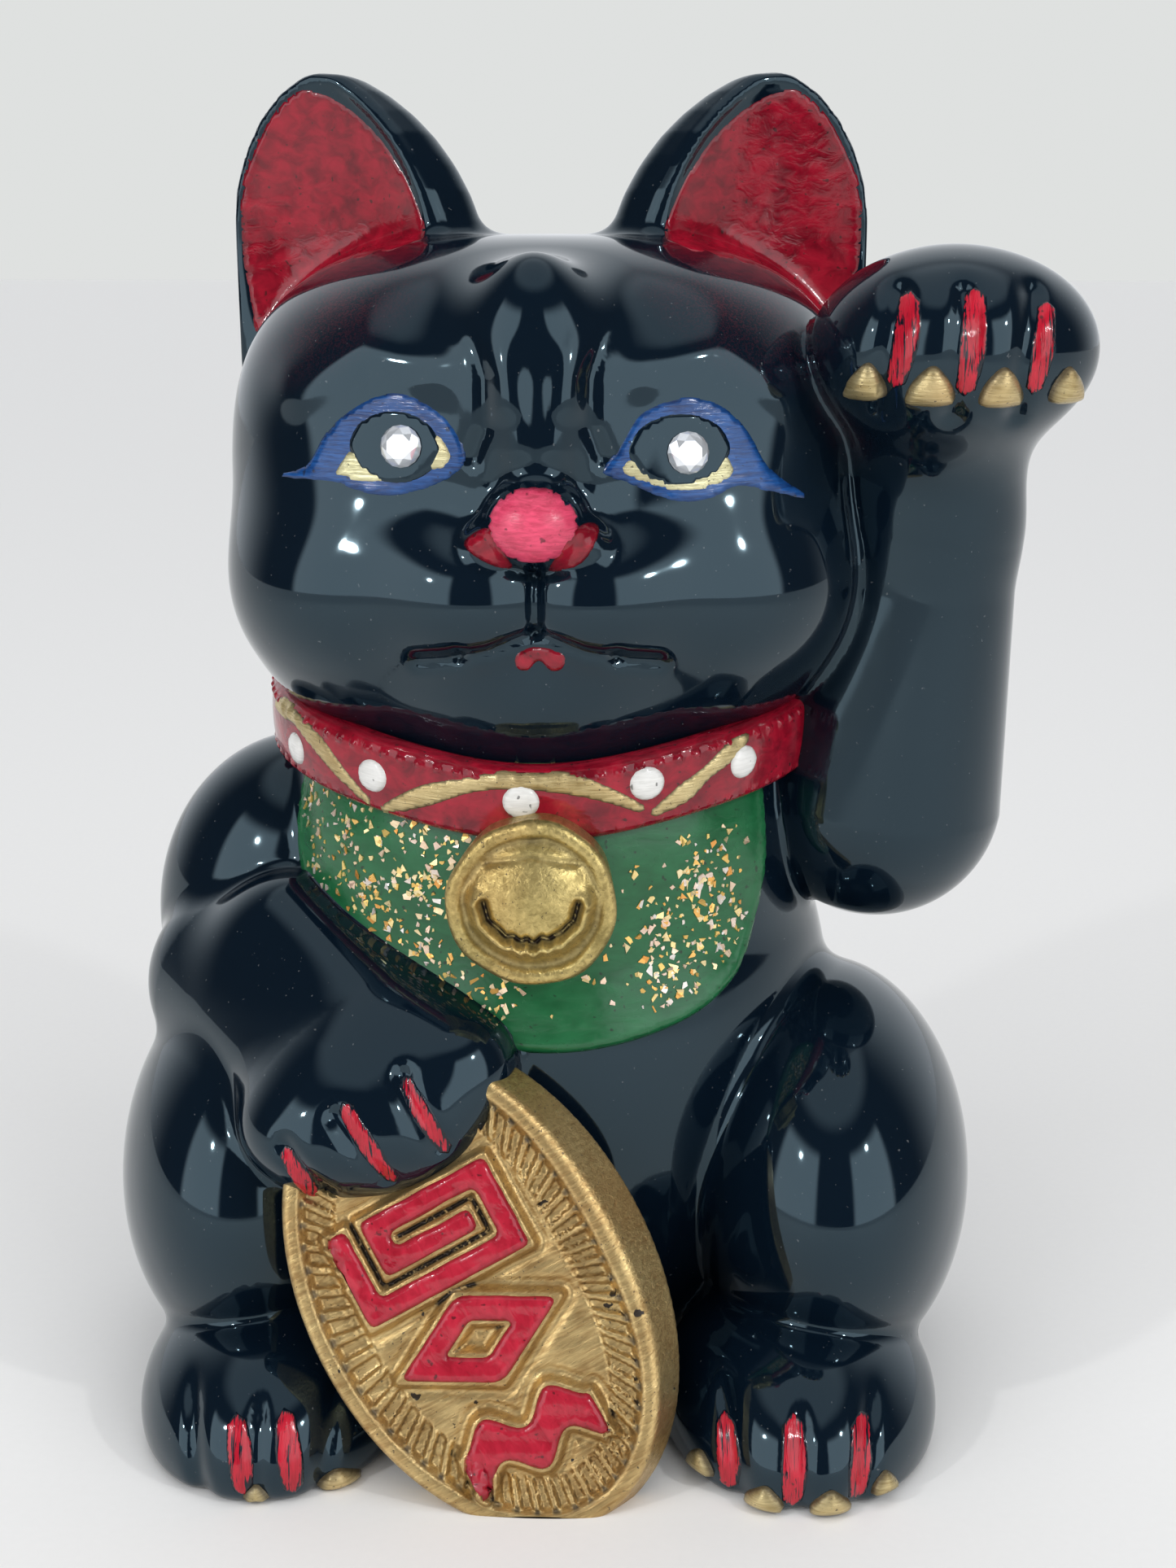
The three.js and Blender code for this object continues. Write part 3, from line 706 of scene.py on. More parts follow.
def stroke(points, widths, steps=8):
    """The outline of a brush stroke along points, with a width at each."""
    path = curve(np.column_stack([points, widths]), closed=False, steps=steps)
    line, wide = path[:, :2], np.maximum(path[:, 2], 0.05)
    along = np.gradient(line, axis=0)
    along /= np.maximum(np.linalg.norm(along, axis=1, keepdims=True), 1e-6)
    across = np.column_stack([-along[:, 1], along[:, 0]]) * wide[:, None] / 2
    start = [line[0] - along[0] * wide[0] * 0.4]
    end = [line[-1] + along[-1] * wide[-1] * 0.4]
    return np.concatenate([start, line + across, end, (line - across)[::-1]])


def inside(points, outline):
    x, y = points[:, 0], points[:, 1]
    result = np.zeros(len(points), bool)
    for (ax, ay), (bx, by) in zip(outline, np.roll(outline, -1, 0)):
        crosses = (ay > y) != (by > y)
        with np.errstate(divide="ignore", invalid="ignore"):
            result ^= crosses & (x < (bx - ax) * (y - ay) / (by - ay) + ax)
    return result


def edge_distance(points, outline):
    return to_line(points[:, 0].astype(np.float32), points[:, 1].astype(np.float32),
                   [tuple(v) for v in np.vstack([outline, outline[:1]])])


FILM_SINK = 0.35
FILM_EDGE_DIP = 0.06


def filled(outline, spacing, holes=()):
    """Triangles that fill an outline, with evenly spaced points inside it."""
    loops = [np.asarray(outline, float)] + [np.asarray(h, float) for h in holes]
    low, high = loops[0].min(0), loops[0].max(0)
    grid = np.stack(np.meshgrid(np.arange(low[0], high[0], spacing),
                                np.arange(low[1], high[1], spacing * 0.866)), -1)
    grid[1::2, :, 0] += spacing / 2
    grid = grid.reshape(-1, 2)
    keep = inside(grid, loops[0]) & (edge_distance(grid, loops[0]) > spacing * 0.45)
    for hole in loops[1:]:
        keep &= ~inside(grid, hole) & (edge_distance(grid, hole) > spacing * 0.45)
    grid = grid[keep]
    verts = np.vstack(loops + [grid])
    edges, start = [], 0
    for loop in loops:
        n = len(loop)
        edges += [(start + i, start + (i + 1) % n) for i in range(n)]
        start += n
    out = delaunay_2d_cdt([Vector(v) for v in verts], edges, [], 0, 1e-5)
    flat = np.array([tuple(v) for v in out[0]])
    tris = np.array([f for f in out[2] if len(f) == 3])
    mid = flat[tris].mean(1)
    ok = inside(mid, loops[0])
    for hole in loops[1:]:
        ok &= ~inside(mid, hole)
    tris = tris[ok]
    used, local = np.unique(tris, return_inverse=True)
    return flat[used], local.reshape(tris.shape)


def film(name, outline, material, field=skin, rays=from_front, thick=0.16, edge=0.5, spacing=0.8,
         holes=(), bead=0.0, bead_at=1.6, lift=0.0):
    """A thin layer of enamel inside an outline, laid on a field's surface, its edges rounded down."""
    flat, tris = filled(outline, spacing, holes)
    away = np.min([edge_distance(flat, np.asarray(loop, float)) for loop in (outline, *holes)], 0)
    base, normal = laid(field, rays, flat)
    rise = np.sqrt(np.clip(1 - (1 - np.clip(away / edge, 0, 1)) ** 2, 0, 1))
    height = lift + thick * rise + bead * np.exp(-((away - bead_at) / (bead_at * 0.45)) ** 2) * rise
    top = base + normal * (height - FILM_EDGE_DIP * (away < 1e-3))[:, None]
    bottom = base - normal * FILM_SINK
    faces = orient(top, tris, normal)
    count = len(top)
    walls = [(b, a, a + count, b + count) for a, b in boundary(faces)]
    shell = [tuple(f) for f in faces] + [tuple(f) for f in faces[:, ::-1] + count] + walls
    grain = np.column_stack([flat, np.zeros(count)])
    return new_piece(name, np.vstack([top, bottom]), shell, material, grain=np.vstack([grain, grain]),
                     hollow=np.concatenate([1 - rise, np.ones(count)]))


def orient(points, tris, normal):
    """Triangles turned, each by itself, to face along the normals."""
    a, b, c = points[tris[:, 0]], points[tris[:, 1]], points[tris[:, 2]]
    wrong = (np.cross(b - a, c - a) * normal[tris[:, 0]]).sum(-1) < 0
    tris = tris.copy()
    tris[wrong] = tris[wrong][:, ::-1]
    return tris


def boundary(tris):
    seen = {}
    for f in tris:
        for a, b in zip(f, np.roll(f, -1)):
            seen[(int(a), int(b))] = True
    return [e for e in seen if (e[1], e[0]) not in seen]


# ==== Painted marks ======================================================================

EYES = {      # the blue ring, the iris, the pupil's middle and its radii
    "eye_left": (
        ((11.7, 173.5), (14.4, 177.7), (17.8, 182.9), (23.3, 185.2), (26.8, 185.4), (31.6, 183.8),
         (36.1, 179.3), (39.6, 173.4), (46.7, 167.7), (39.2, 169.4), (34.3, 170.6), (30.6, 169.1),
         (25.9, 168.2), (20.9, 169.3), (15.8, 171.6)),
        ((14, 173.8), (16.6, 176.5), (19.3, 180), (23.4, 180.9), (26.9, 180.7), (31, 178.3), (33.6, 172.7),
         (28.9, 170.2), (23.4, 170), (17.9, 171.6)),
        (24.3, 176.8), (8.5, 6.1)),
    "eye_right": (
        ((-46.3, 171), (-39.1, 173.4), (-35.1, 179.3), (-29.2, 184.1), (-23.1, 186.1), (-17.5, 184.6),
         (-12.6, 180.6), (-10.7, 176), (-12.3, 173.3), (-16.9, 170.8), (-23.8, 169.1), (-29.8, 169.8),
         (-34.2, 171)),
        ((-33.8, 172.6), (-29.2, 178.3), (-25.3, 181.4), (-20.3, 182.1), (-15.8, 180.1), (-13.2, 177.6),
         (-13.4, 174.5), (-18.3, 172.7), (-27.4, 171), (-31.7, 171.5)),
        (-22.9, 177.2), (8.0, 6.0)),
}
EAR_RED = ((17.2, -9.2), (20.1, 1.5), (21.1, 12), (19.7, 22), (13.7, 31.5), (6.5, 36.6), (-2.3, 33.4),
           (-10, 26.8), (-16.6, 18.0), (-20.2, 10.3), (-20.2, 8.3), (-13.3, 6.6), (-3.9, 4.6), (7.9, -1.0))
NOSE_PINK = (0.7, 165.9, 15.2, 12.6)
NOSTRILS = {
    "nostril_right": ((-10.8, 162.2), (-8.6, 164.6), (-6.0, 165.4), (-4.6, 162.6), (-2.9, 158.5),
                      (-6.8, 159.4)),
    "nostril_left": ((11.3, 164.6), (8.9, 166.0), (6.4, 164.2), (4.6, 161.2), (3.2, 157.9), (8.5, 159.6)),
}
TONGUE = ((-2.6, 143.6), (-0.3, 145.0), (3.0, 145.0), (5.6, 143.8), (5.2, 141.4), (3.2, 140.9), (1.3, 142.6),
          (-0.6, 140.9), (-2.4, 141.3))
STRIPES = {      # each stripe's top, foot and width
    "raised_stripe": (((61.9, 201.5), (59.7, 188), 4.0), ((72.3, 202), (70.9, 187), 4.2),
                      ((84.2, 200), (82.4, 187), 3.8)),
    "lowered_stripe": (((-41, 61), (-37, 50.5), 3.4), ((-31, 68.7), (-23.4, 55.6), 3.6),
                       ((-21.1, 72.0), (-14.4, 60.3), 3.2)),
    "foot_right_stripe": (((-50, 14), (-48.6, 3.2), 4.2), ((-41.9, 14.4), (-40.1, 3.0), 4.2)),
    "foot_left_stripe": (((33.7, 12.4), (34.4, 2.8), 4.2), ((45.1, 14.8), (45, 2.8), 4.6),
                         ((56.6, 14.3), (56.1, 2.8), 4.2)),
}
STRIPE_BOW = 0.25
CLAWS = {      # each claw's middle, width and height
    "raised_claw": ((55.2, 188.0, 6.6, 6.2), (65.4, 187.6, 8.0, 6.6), (77.0, 187.4, 7.6, 6.6),
                    (88.4, 187.4, 6.4, 6.2)),
    "foot_right_claw": ((-46.6, 2.3, 4.4, 3.2), (-33.4, 2.2, 6.8, 3.8)),
    "foot_left_claw": ((29.6, 4.6, 4.4, 4.2), (40.4, 3.0, 6.4, 4.6), (51.4, 3.0, 6.8, 4.6),
                       (60.9, 4.2, 4.6, 4.2)),
}
COLLAR_STROKE = 4.2
COLLAR_STROKES = (
    ((-65, 5), (-58, 6.3), (-52.5, 6.0), (-46, 4.4), (-41.6, 2.4), (-36, -1.0), (-31, -4.2)),
    ((-28.2, -5.2), (-19.4, -0.9), (-10.4, 2.2), (-2.1, 3.4), (6.2, 2.6), (13, 0.2), (18.6, -2.8)),
    ((20.8, -3.9), (26.4, -1.1), (31, 1.8), (36.4, 4.6), (40.5, 6.4)),
)
COLLAR_DOT = (6.4, 6.0)
COLLAR_DOTS = ((-2.1, -0.5), (-29.8, 1.0), (-52.0, 0.4), (19.6, 1.7), (39.4, 2.0))
BIB = ((49.5, 122), (48.5, 106), (47, 97), (41, 84.5), (32, 78), (19.5, 74), (5, 72), (-10, 73), (-26, 77),
       (-41, 84), (-51, 92), (-57, 101), (-59, 110), (-59, 122), (-40, 124), (-20, 124), (0, 124), (20, 124),
       (38, 123))
BIB_THICK = 1.1
FLAKES = (((-53, 110), (-38, 110), (-24, 111), (-15, 109), (-50, 99), (-35, 102), (-20, 102)),
          ((-33, 94), (-24, 91), (-14, 85), (-9, 82), (-19, 99)),
          ((28, 101), (34, 97), (24, 94.5), (37, 89), (28, 86.5), (24, 80), (34, 103), (21, 85)))
FLAKES_EACH = 40
FLAKES_STRAY = 30


def oval(x, z, width, height, points=20):
    turn = 2 * np.pi * np.arange(points) / points
    return np.column_stack([x + width / 2 * np.cos(turn), z + height / 2 * np.sin(turn)])


def claw(x, z, width, height):
    """A hill with a broad foot."""
    shape = ((-0.5, -0.42), (-0.15, -0.5), (0.2, -0.5), (0.5, -0.4), (0.46, -0.05), (0.2, 0.36), (0.02, 0.5),
             (-0.18, 0.38), (-0.44, 0.0))
    return curve([(x + width * u, z + height * w) for u, w in shape], steps=3)


def by_head(side):
    return lambda p: join(head(p), ear(p, side), 4)


def painted(glossy):
    """Everything brushed on the glaze and the collar: pairs of a piece and its slot."""
    def mark(name, outline, slot, finish=None, **shape):
        return film(name, outline, glossy[finish or slot], **shape), slot

    for name, (outer, iris, pupil, radii) in EYES.items():
        yield mark(f"{name}_blue", curve(outer, steps=4), "blue_enamel", thick=0.2, spacing=1.0)
        yield mark(f"{name}_iris", curve(iris, steps=4), "aged_gold", "iris_gold", lift=0.16, thick=0.12,
                   spacing=1.0)
        yield mark(f"{name}_pupil", oval(*pupil, 2 * radii[0], 2 * radii[1], 32), "black_glaze", lift=0.22,
                   thick=0.12, spacing=1.0)
    for name, side in (("left", 1), ("right", -1)):
        yield mark(f"ear_{name}_red", curve(EAR_RED, steps=4), "red_enamel", field=by_head(side),
                   rays=from_ear(side), thick=0.18, spacing=1.3)
    yield mark("nose_pink", oval(*NOSE_PINK, 28), "pink_enamel", thick=0.16, edge=0.8, spacing=0.9)
    for name, outline in NOSTRILS.items():
        yield mark(name, curve(outline, steps=4), "red_enamel", lift=0.1, thick=0.16)
    yield mark("tongue", curve(TONGUE, steps=4), "red_enamel", thick=0.35, edge=0.9, spacing=0.6)
    for name, lines in STRIPES.items():
        for index, (top, low, width) in enumerate(lines):
            middle = ((top[0] + low[0]) / 2 + STRIPE_BOW, (top[1] + low[1]) / 2)
            outline = stroke((top, middle, low), (width * 0.85, width * 1.08, width * 0.8), steps=5)
            yield mark(f"{name}_{index + 1}", outline, "red_enamel", "stripe_red", thick=0.22, edge=0.9,
                       spacing=0.5)
    for name, places in CLAWS.items():
        for index, place in enumerate(places):
            yield mark(f"{name}_{index + 1}", claw(*place), "aged_gold", thick=2.0, edge=3.2, spacing=0.5)
    on_collar = {"field": collar, "rays": from_collar}
    for index, points in enumerate(COLLAR_STROKES):
        widths = [COLLAR_STROKE * (0.85 + 0.15 * math.sin(2.2 * k)) for k in range(len(points))]
        widths[0] = widths[-1] = COLLAR_STROKE * 0.45
        yield mark(f"collar_stroke_{index + 1}", stroke(points, widths, steps=6), "aged_gold", thick=0.22,
                   edge=0.6, **on_collar)
    for index, (a, b) in enumerate(COLLAR_DOTS):
        yield mark(f"collar_dot_{index + 1}", oval(a, b, *COLLAR_DOT, 24), "white_enamel", thick=0.75,
                   edge=2.4, spacing=0.6, **on_collar)


def foil_flakes(material):
    """Little irregular plates of leaf stuck on the bib, in clusters."""
    rng = np.random.default_rng(SEED)
    spots = [np.array(c) + rng.normal(0, (4.6, 3.4), (FLAKES_EACH, 2)) for group in FLAKES for c in group]
    spots.append(np.column_stack([rng.uniform(-54, 44, FLAKES_STRAY), rng.uniform(78, 112, FLAKES_STRAY)]))
    spots = np.vstack(spots)
    outline = curve(BIB, steps=4)
    spots = spots[inside(spots, outline) & (edge_distance(spots, outline) > 3.4) & (spots[:, 1] < 116)]
    base, normal = laid(torso, from_round, spots)
    points, faces, tint = [], [], []
    for place, up in zip(base + normal * (BIB_THICK + 0.03), normal):
        up = unit(up + rng.normal(0, 0.16, 3))
        side = unit(np.cross(up, vec(0, 0, 1) + rng.normal(0, 0.4, 3)))
        other = np.cross(up, side)
        count = int(rng.integers(4, 7))
        turn = np.sort(rng.uniform(0, 2 * np.pi, count) * 0.35 + 2 * np.pi * np.arange(count) / count)
        size = 0.32 + 0.75 * rng.uniform(0, 1) ** 2
        ring = [size * rng.uniform(0.7, 1.15) * (math.cos(t) * side + math.sin(t) * other) for t in turn]
        first = len(points)
        points += [place + v + up * 0.14 for v in ring] + [place + v - up * 0.12 for v in ring]
        faces.append(tuple(range(first, first + count)))
        faces.append(tuple(range(first + 2 * count - 1, first + count - 1, -1)))
        faces += [(first + k, first + count + k, first + count + (k + 1) % count, first + (k + 1) % count)
                  for k in range(count)]
        tint += [rng.uniform(0, 1)] * (2 * count)
    return new_piece("bib_foil", np.array(points), faces, material, smooth=False, tint=np.array(tint))


# ==== Glass stones and the stopper =======================================================

STONES = {"stone_left": (25.6, 176.4), "stone_right": (-21.7, 177.4)}
FACETS = 8
CUT = ((2.15, 1.75, FACETS, 0.5), (3.05, 1.15, FACETS, 0.0), (3.55, 0.35, 2 * FACETS, 0.0),
       (2.9, -0.5, 2 * FACETS, 0.0))      # table, crown, girdle and foot: radius, height, corners, turn
STONE_LIFT = 0.45


def stone(node, place, material):
    """A round cut stone: flat table, star and kite facets, girdle, flat foiled back."""
    base, normal = laid(skin, from_front, np.array([place]))
    at = base[0]
    up = unit(normal[0] + vec(0, -0.4, 0))
    side = unit(np.cross(up, vec(0, 0, 1)))
    other = np.cross(up, side)
    points = []
    for radius, height, count, shift in CUT:
        turn = 2 * np.pi * (np.arange(count) + shift) / count
        middle = at + up * (height + STONE_LIFT)
        points += [middle + side * radius * math.cos(t) + other * radius * math.sin(t) for t in turn]
    n, twice = FACETS, 2 * FACETS
    faces = [tuple(range(n))]
    for k in range(n):
        after = (k + 1) % n
        low = twice + 2 * k
        high = twice + (2 * k + 2) % twice
        faces += [(k, n + after, after), (n + k, n + after, k), (n + k, low, low + 1),
                  (n + k, low + 1, n + after), (n + after, low + 1, high)]
    faces += [(twice + k, 2 * twice + k, 2 * twice + (k + 1) % twice, twice + (k + 1) % twice)
              for k in range(twice)]
    faces.append(tuple(range(3 * twice - 1, 2 * twice - 1, -1)))
    return new_piece(f"{node}_cut", np.array(points), faces, material, smooth=False)


STOPPER_PROFILE = ((0, 1.6), (4.2, 1.6), (4.9, 1.3), (5.2, 0.75), (5.6, 0.6), (16.7, 0.6), (17.4, 0.9),
                   (17.6, 1.6), (17.4, 2.4), (16.9, 2.62), (13.0, 2.62), (12.6, 2.9), (12.6, 5.6),
                   (12.3, 6.0), (12.3, 6.6), (12.6, 7.0), (12.6, 10.2), (12.0, 11.3), (11.2, 11.6), (0, 11.6))


def stopper(material, around=72):
    """The rubber stopper, turned: pull dimple, disc, plug with a groove round it."""
    profile = [STOPPER_PROFILE[0]] + [tuple(p) for p in curve(STOPPER_PROFILE[1:-1], closed=False, steps=3)]
    profile.append(STOPPER_PROFILE[-1])
    turn = 2 * np.pi * np.arange(around) / around
    points = [(0, 0, profile[0][1])]
    for r, z in profile[1:-1]:
        points += [(r * math.cos(t), r * math.sin(t), z) for t in turn]
    points.append((0, 0, profile[-1][1]))
    last = len(points) - 1
    faces = [(0, 1 + (k + 1) % around, 1 + k) for k in range(around)]
    for row in range(len(profile) - 3):
        a, b = 1 + row * around, 1 + (row + 1) * around
        faces += [(a + k, a + (k + 1) % around, b + (k + 1) % around, b + k) for k in range(around)]
    top = last - around
    faces += [(top + k, top + (k + 1) % around, last) for k in range(around)]
    return new_piece("base_stopper_rubber", np.array(points, float), faces, material)


# ==== Materials ==========================================================================


class Nodes:
    """The node tree of a material or of the world, built with short calls."""

    def __init__(self, owner):
        owner.use_nodes = True
        self.owner = owner
        self.tree = owner.node_tree

    def add(self, kind, **settings):
        node = self.tree.nodes.new(kind)
        for key, value in settings.items():
            setattr(node, key, value)
        return node

    def link(self, source, target):
        self.tree.links.new(source, target)

    def put(self, socket, value):
        """Sets a socket to a number or colour, or links it."""
        if isinstance(value, bpy.types.NodeSocket):
            self.link(value, socket)
        else:
            socket.default_value = value

    def place(self):
        return self.add("ShaderNodeTexCoord").outputs["Object"]

    def grain(self, scale, turn):
        """The pattern's own place that is stored at the mesh's points, scaled and turned."""
        mapping = self.add("ShaderNodeMapping")
        mapping.inputs["Scale"].default_value = scale
        mapping.inputs["Rotation"].default_value = (0, 0, math.radians(turn))
        self.link(self.add("ShaderNodeAttribute", attribute_name="grain").outputs["Vector"],
                  mapping.inputs["Vector"])
        return mapping.outputs["Vector"]

    def stored(self, name):
        """A number stored at the mesh's points."""
        return self.add("ShaderNodeAttribute", attribute_name=name).outputs["Fac"]

    def noise(self, scale, detail=3.0, rough=0.5, vector=None, distortion=0.0):
        node = self.add("ShaderNodeTexNoise")
        settings = {"Scale": scale, "Detail": detail, "Roughness": rough, "Distortion": distortion}
        for key, value in settings.items():
            node.inputs[key].default_value = value
        self.link(vector or self.place(), node.inputs["Vector"])
        return node.outputs["Fac"]

    def ramp(self, factor, stops):
        node = self.add("ShaderNodeValToRGB")
        elements = node.color_ramp.elements
        while len(elements) < len(stops):
            elements.new(0.5)
        for element, (position, colour) in zip(elements, stops):
            element.position = position
            element.color = colour if len(colour) == 4 else (*colour, 1)
        self.link(factor, node.inputs["Fac"])
        return node.outputs["Color"]

    def span(self, factor, low, high, to_low=0.0, to_high=1.0, kind="LINEAR"):
        node = self.add("ShaderNodeMapRange", interpolation_type=kind)
        for key, value in zip(("From Min", "From Max", "To Min", "To Max"), (low, high, to_low, to_high)):
            node.inputs[key].default_value = value
        self.link(factor, node.inputs["Value"])
        return node.outputs["Result"]

    def maths(self, operation, a, b=0.0):
        node = self.add("ShaderNodeMath", operation=operation)
        self.put(node.inputs[0], a)
        self.put(node.inputs[1], b)
        return node.outputs[0]

    def tinted(self, socket, value):
        self.put(socket, value if isinstance(value, bpy.types.NodeSocket) else (*value[:3], 1))

    def mix(self, factor, a, b):
        node = self.add("ShaderNodeMix", data_type="RGBA")
        self.put(node.inputs[0], factor)
        self.tinted(node.inputs[6], a)
        self.tinted(node.inputs[7], b)
        return node.outputs[2]

    def near(self, centre, inner, outer):
        """1 within inner metres of a place in the frame, 0 beyond outer."""
        node = self.add("ShaderNodeVectorMath", operation="DISTANCE")
        self.link(self.place(), node.inputs[0])
        node.inputs[1].default_value = centre
        return self.span(node.outputs["Value"], inner, outer, 1.0, 0.0)

    def bump(self, height, distance, strength=1.0, under=None):
        node = self.add("ShaderNodeBump")
        node.inputs["Strength"].default_value = strength
        node.inputs["Distance"].default_value = distance
        self.link(height, node.inputs["Height"])
        if under is not None:
            self.link(under, node.inputs["Normal"])
        return node.outputs["Normal"]

    def done(self, colour, roughness=0.3, metallic=0.0, normal=None, **constants):
        shader = self.tree.nodes["Principled BSDF"]
        self.tinted(shader.inputs["Base Color"], colour)
        self.put(shader.inputs["Roughness"], roughness)
        self.put(shader.inputs["Metallic"], metallic)
        if normal is not None:
            self.link(normal, shader.inputs["Normal"])
        for key, value in constants.items():
            shader.inputs[key.replace("_", " ")].default_value = value
        return self.owner


def material_nodes(name):
    return Nodes(bpy.data.materials.new(name))


# The glaze's black, tinted blue as a painted reflection of the bluish panel light.
BLACK_WITH_PAINTED_BLUE_REFLECTION = (0.0022, 0.0062, 0.0125)


def in_frame(x, y, z):
    """A place in the figure's millimetres as metres in the frame."""
    return tuple(np.array([x, y, z]) * MM + AXIS)


SPRAYS = (((-38, -30, 208), 0.026), ((38, -30, 208), 0.026), ((58, -22, 190), 0.020))


def black_glaze():
    """Deep black gloss with a painted bluish reflection tint, a maroon overspray below the ears and dust."""
    n = material_nodes("black_glaze")
    speckle = n.noise(2600, 2, 0.6)
    cloud = n.noise(90, 3)
    spray = 0.0
    for place, outer in SPRAYS:
        spray = n.maths("MAXIMUM", spray, n.near(in_frame(*place), 0.004, outer))
    grains = n.maths("ADD", n.span(speckle, 0.42, 0.62), n.span(cloud, 0.4, 0.7, -0.2, 0.3))
    amount = n.maths("MULTIPLY", spray, n.maths("MULTIPLY", grains, 0.75))
    colour = n.mix(amount, BLACK_WITH_PAINTED_BLUE_REFLECTION, (0.085, 0.012, 0.02))
    dust = n.span(n.noise(1400, 1, 0.4), 0.765, 0.795)
    colour = n.mix(dust, colour, (0.07, 0.075, 0.08))
    wobble = n.bump(n.noise(34, 2, 0.4), 0.00035, 0.25)
    # Specular_Tint paints the reflections bluish: the panel light's tint is put into the glaze.
    return n.done(colour, n.span(n.noise(160, 2), 0.3, 0.8, 0.04, 0.09), 0.0, wobble,
                  IOR=1.62, Specular_Tint=(0.62, 0.88, 1.0, 1.0))


def enamel(name, light, dark, streaks=(0.25, 2.2, 1), turn=0.0, worn=0.5, rough=(0.08, 0.2), bare=0.0):
    """Brushed-on enamel: streaks along the stroke, thin dark edges, small pits."""
    n = material_nodes(name)
    lines = n.noise(1.0, 3, 0.6, n.grain(streaks, turn), 0.6)
    blotch = n.noise(150, 3, 0.55)
    shade = n.maths("ADD", n.maths("MULTIPLY", lines, 0.6), n.maths("MULTIPLY", blotch, 0.4))
    colour = n.mix(n.span(shade, 0.36, 0.62), dark, light)
    thin = n.maths("MULTIPLY", n.stored("hollow"), worn)
    colour = n.mix(thin, colour, tuple(c * 0.22 for c in dark))
    if bare:
        gaps = n.maths("MULTIPLY", n.stored("hollow"), 0.35)
        gaps = n.maths("ADD", n.maths("MULTIPLY", lines, 0.75), gaps)
        # The gaps show the glaze's black, with its painted bluish reflection tint.
        colour = n.mix(n.span(gaps, bare, bare + 0.06), colour, BLACK_WITH_PAINTED_BLUE_REFLECTION)
    pits = n.span(n.noise(900, 1, 0.4), 0.70, 0.76)
    colour = n.mix(n.maths("MULTIPLY", pits, 0.7), colour, (0.012, 0.01, 0.01))
    waves = n.bump(lines, 0.0003, 0.35)
    waves = n.bump(n.noise(260, 2, 0.5), 0.0002, 0.35, waves)
    return n.done(colour, n.span(blotch, 0.3, 0.7, *rough), 0.0, waves, IOR=1.5)


def gold_paint(name, light, dark, streaks=(0.2, 2.6, 1), turn=0.0, patina=0.85, chips=0.9):
    """Bronze-powder paint: brushed, dull, dark in every hollow and rubbed through in specks."""
    n = material_nodes(name)
    lines = n.noise(1.0, 4, 0.65, n.grain(streaks, turn), 0.5)
    blotch = n.noise(120, 4, 0.6)
    shade = n.maths("ADD", n.maths("MULTIPLY", lines, 0.55), n.maths("MULTIPLY", blotch, 0.45))
    colour = n.mix(n.span(shade, 0.36, 0.62), dark, light)
    warm = n.span(n.noise(60, 2), 0.45, 0.7)
    colour = n.mix(n.maths("MULTIPLY", warm, 0.35), colour, (0.42, 0.20, 0.055))
    speck = n.span(n.noise(1500, 2, 0.6), 0.66, 0.71)
    deep = n.maths("MULTIPLY", n.span(n.stored("hollow"), 0.12, 0.75), patina)
    dirt = n.maths("MAXIMUM", deep, n.maths("MULTIPLY", speck, 0.8))
    dirt = n.maths("MAXIMUM", dirt, n.span(n.noise(210, 3, 0.6), chips, chips + 0.015))
    colour = n.mix(dirt, colour, (0.02, 0.013, 0.008))
    metal = n.maths("SUBTRACT", 0.85, n.maths("MULTIPLY", dirt, 0.7))
    surface = n.bump(lines, 0.0004, 0.5)
    surface = n.bump(n.noise(1300, 2, 0.6), 0.0001, 0.4, surface)
    return n.done(colour, n.span(shade, 0.35, 0.65, 0.44, 0.26), metal, surface)


def foil():
    """Leaf in warm, pale and coppery tints, a different one on each flake."""
    n = material_nodes("gold_foil")
    colour = n.ramp(n.stored("tint"), ((0.0, (0.85, 0.36, 0.08)), (0.3, (0.95, 0.68, 0.20)),
                                         (0.6, (0.95, 0.80, 0.45)), (0.8, (0.90, 0.66, 0.52)),
                                         (1.0, (0.80, 0.80, 0.76))))
    colour = n.mix(n.span(n.noise(700, 2), 0.4, 0.7, 0, 0.3), colour, (0.45, 0.24, 0.08))
    return n.done(colour, n.span(n.noise(500, 2), 0.3, 0.7, 0.22, 0.4), 0.6,
                  n.bump(n.noise(1800, 2), 0.0001, 0.4))


def glass():
    """Pale cut glass over a silver backing."""
    n = material_nodes("glass_stone")
    shade = n.noise(420, 1)
    return n.done(n.mix(shade, (0.72, 0.76, 0.80), (0.92, 0.94, 0.97)), 0.06, 0.6, None, IOR=1.6,
                  Coat_Weight=1.0, Coat_Roughness=0.02)


def rubber():
    """Dull black rubber with dust in it."""
    n = material_nodes("stopper_rubber")
    dust = n.span(n.noise(300, 4), 0.45, 0.75, 0, 0.6)
    return n.done(n.mix(dust, (0.022, 0.022, 0.024), (0.075, 0.073, 0.07)),
                  n.span(dust, 0, 1, 0.5, 0.75), 0.0, n.bump(n.noise(900, 3), 0.0001, 0.35))


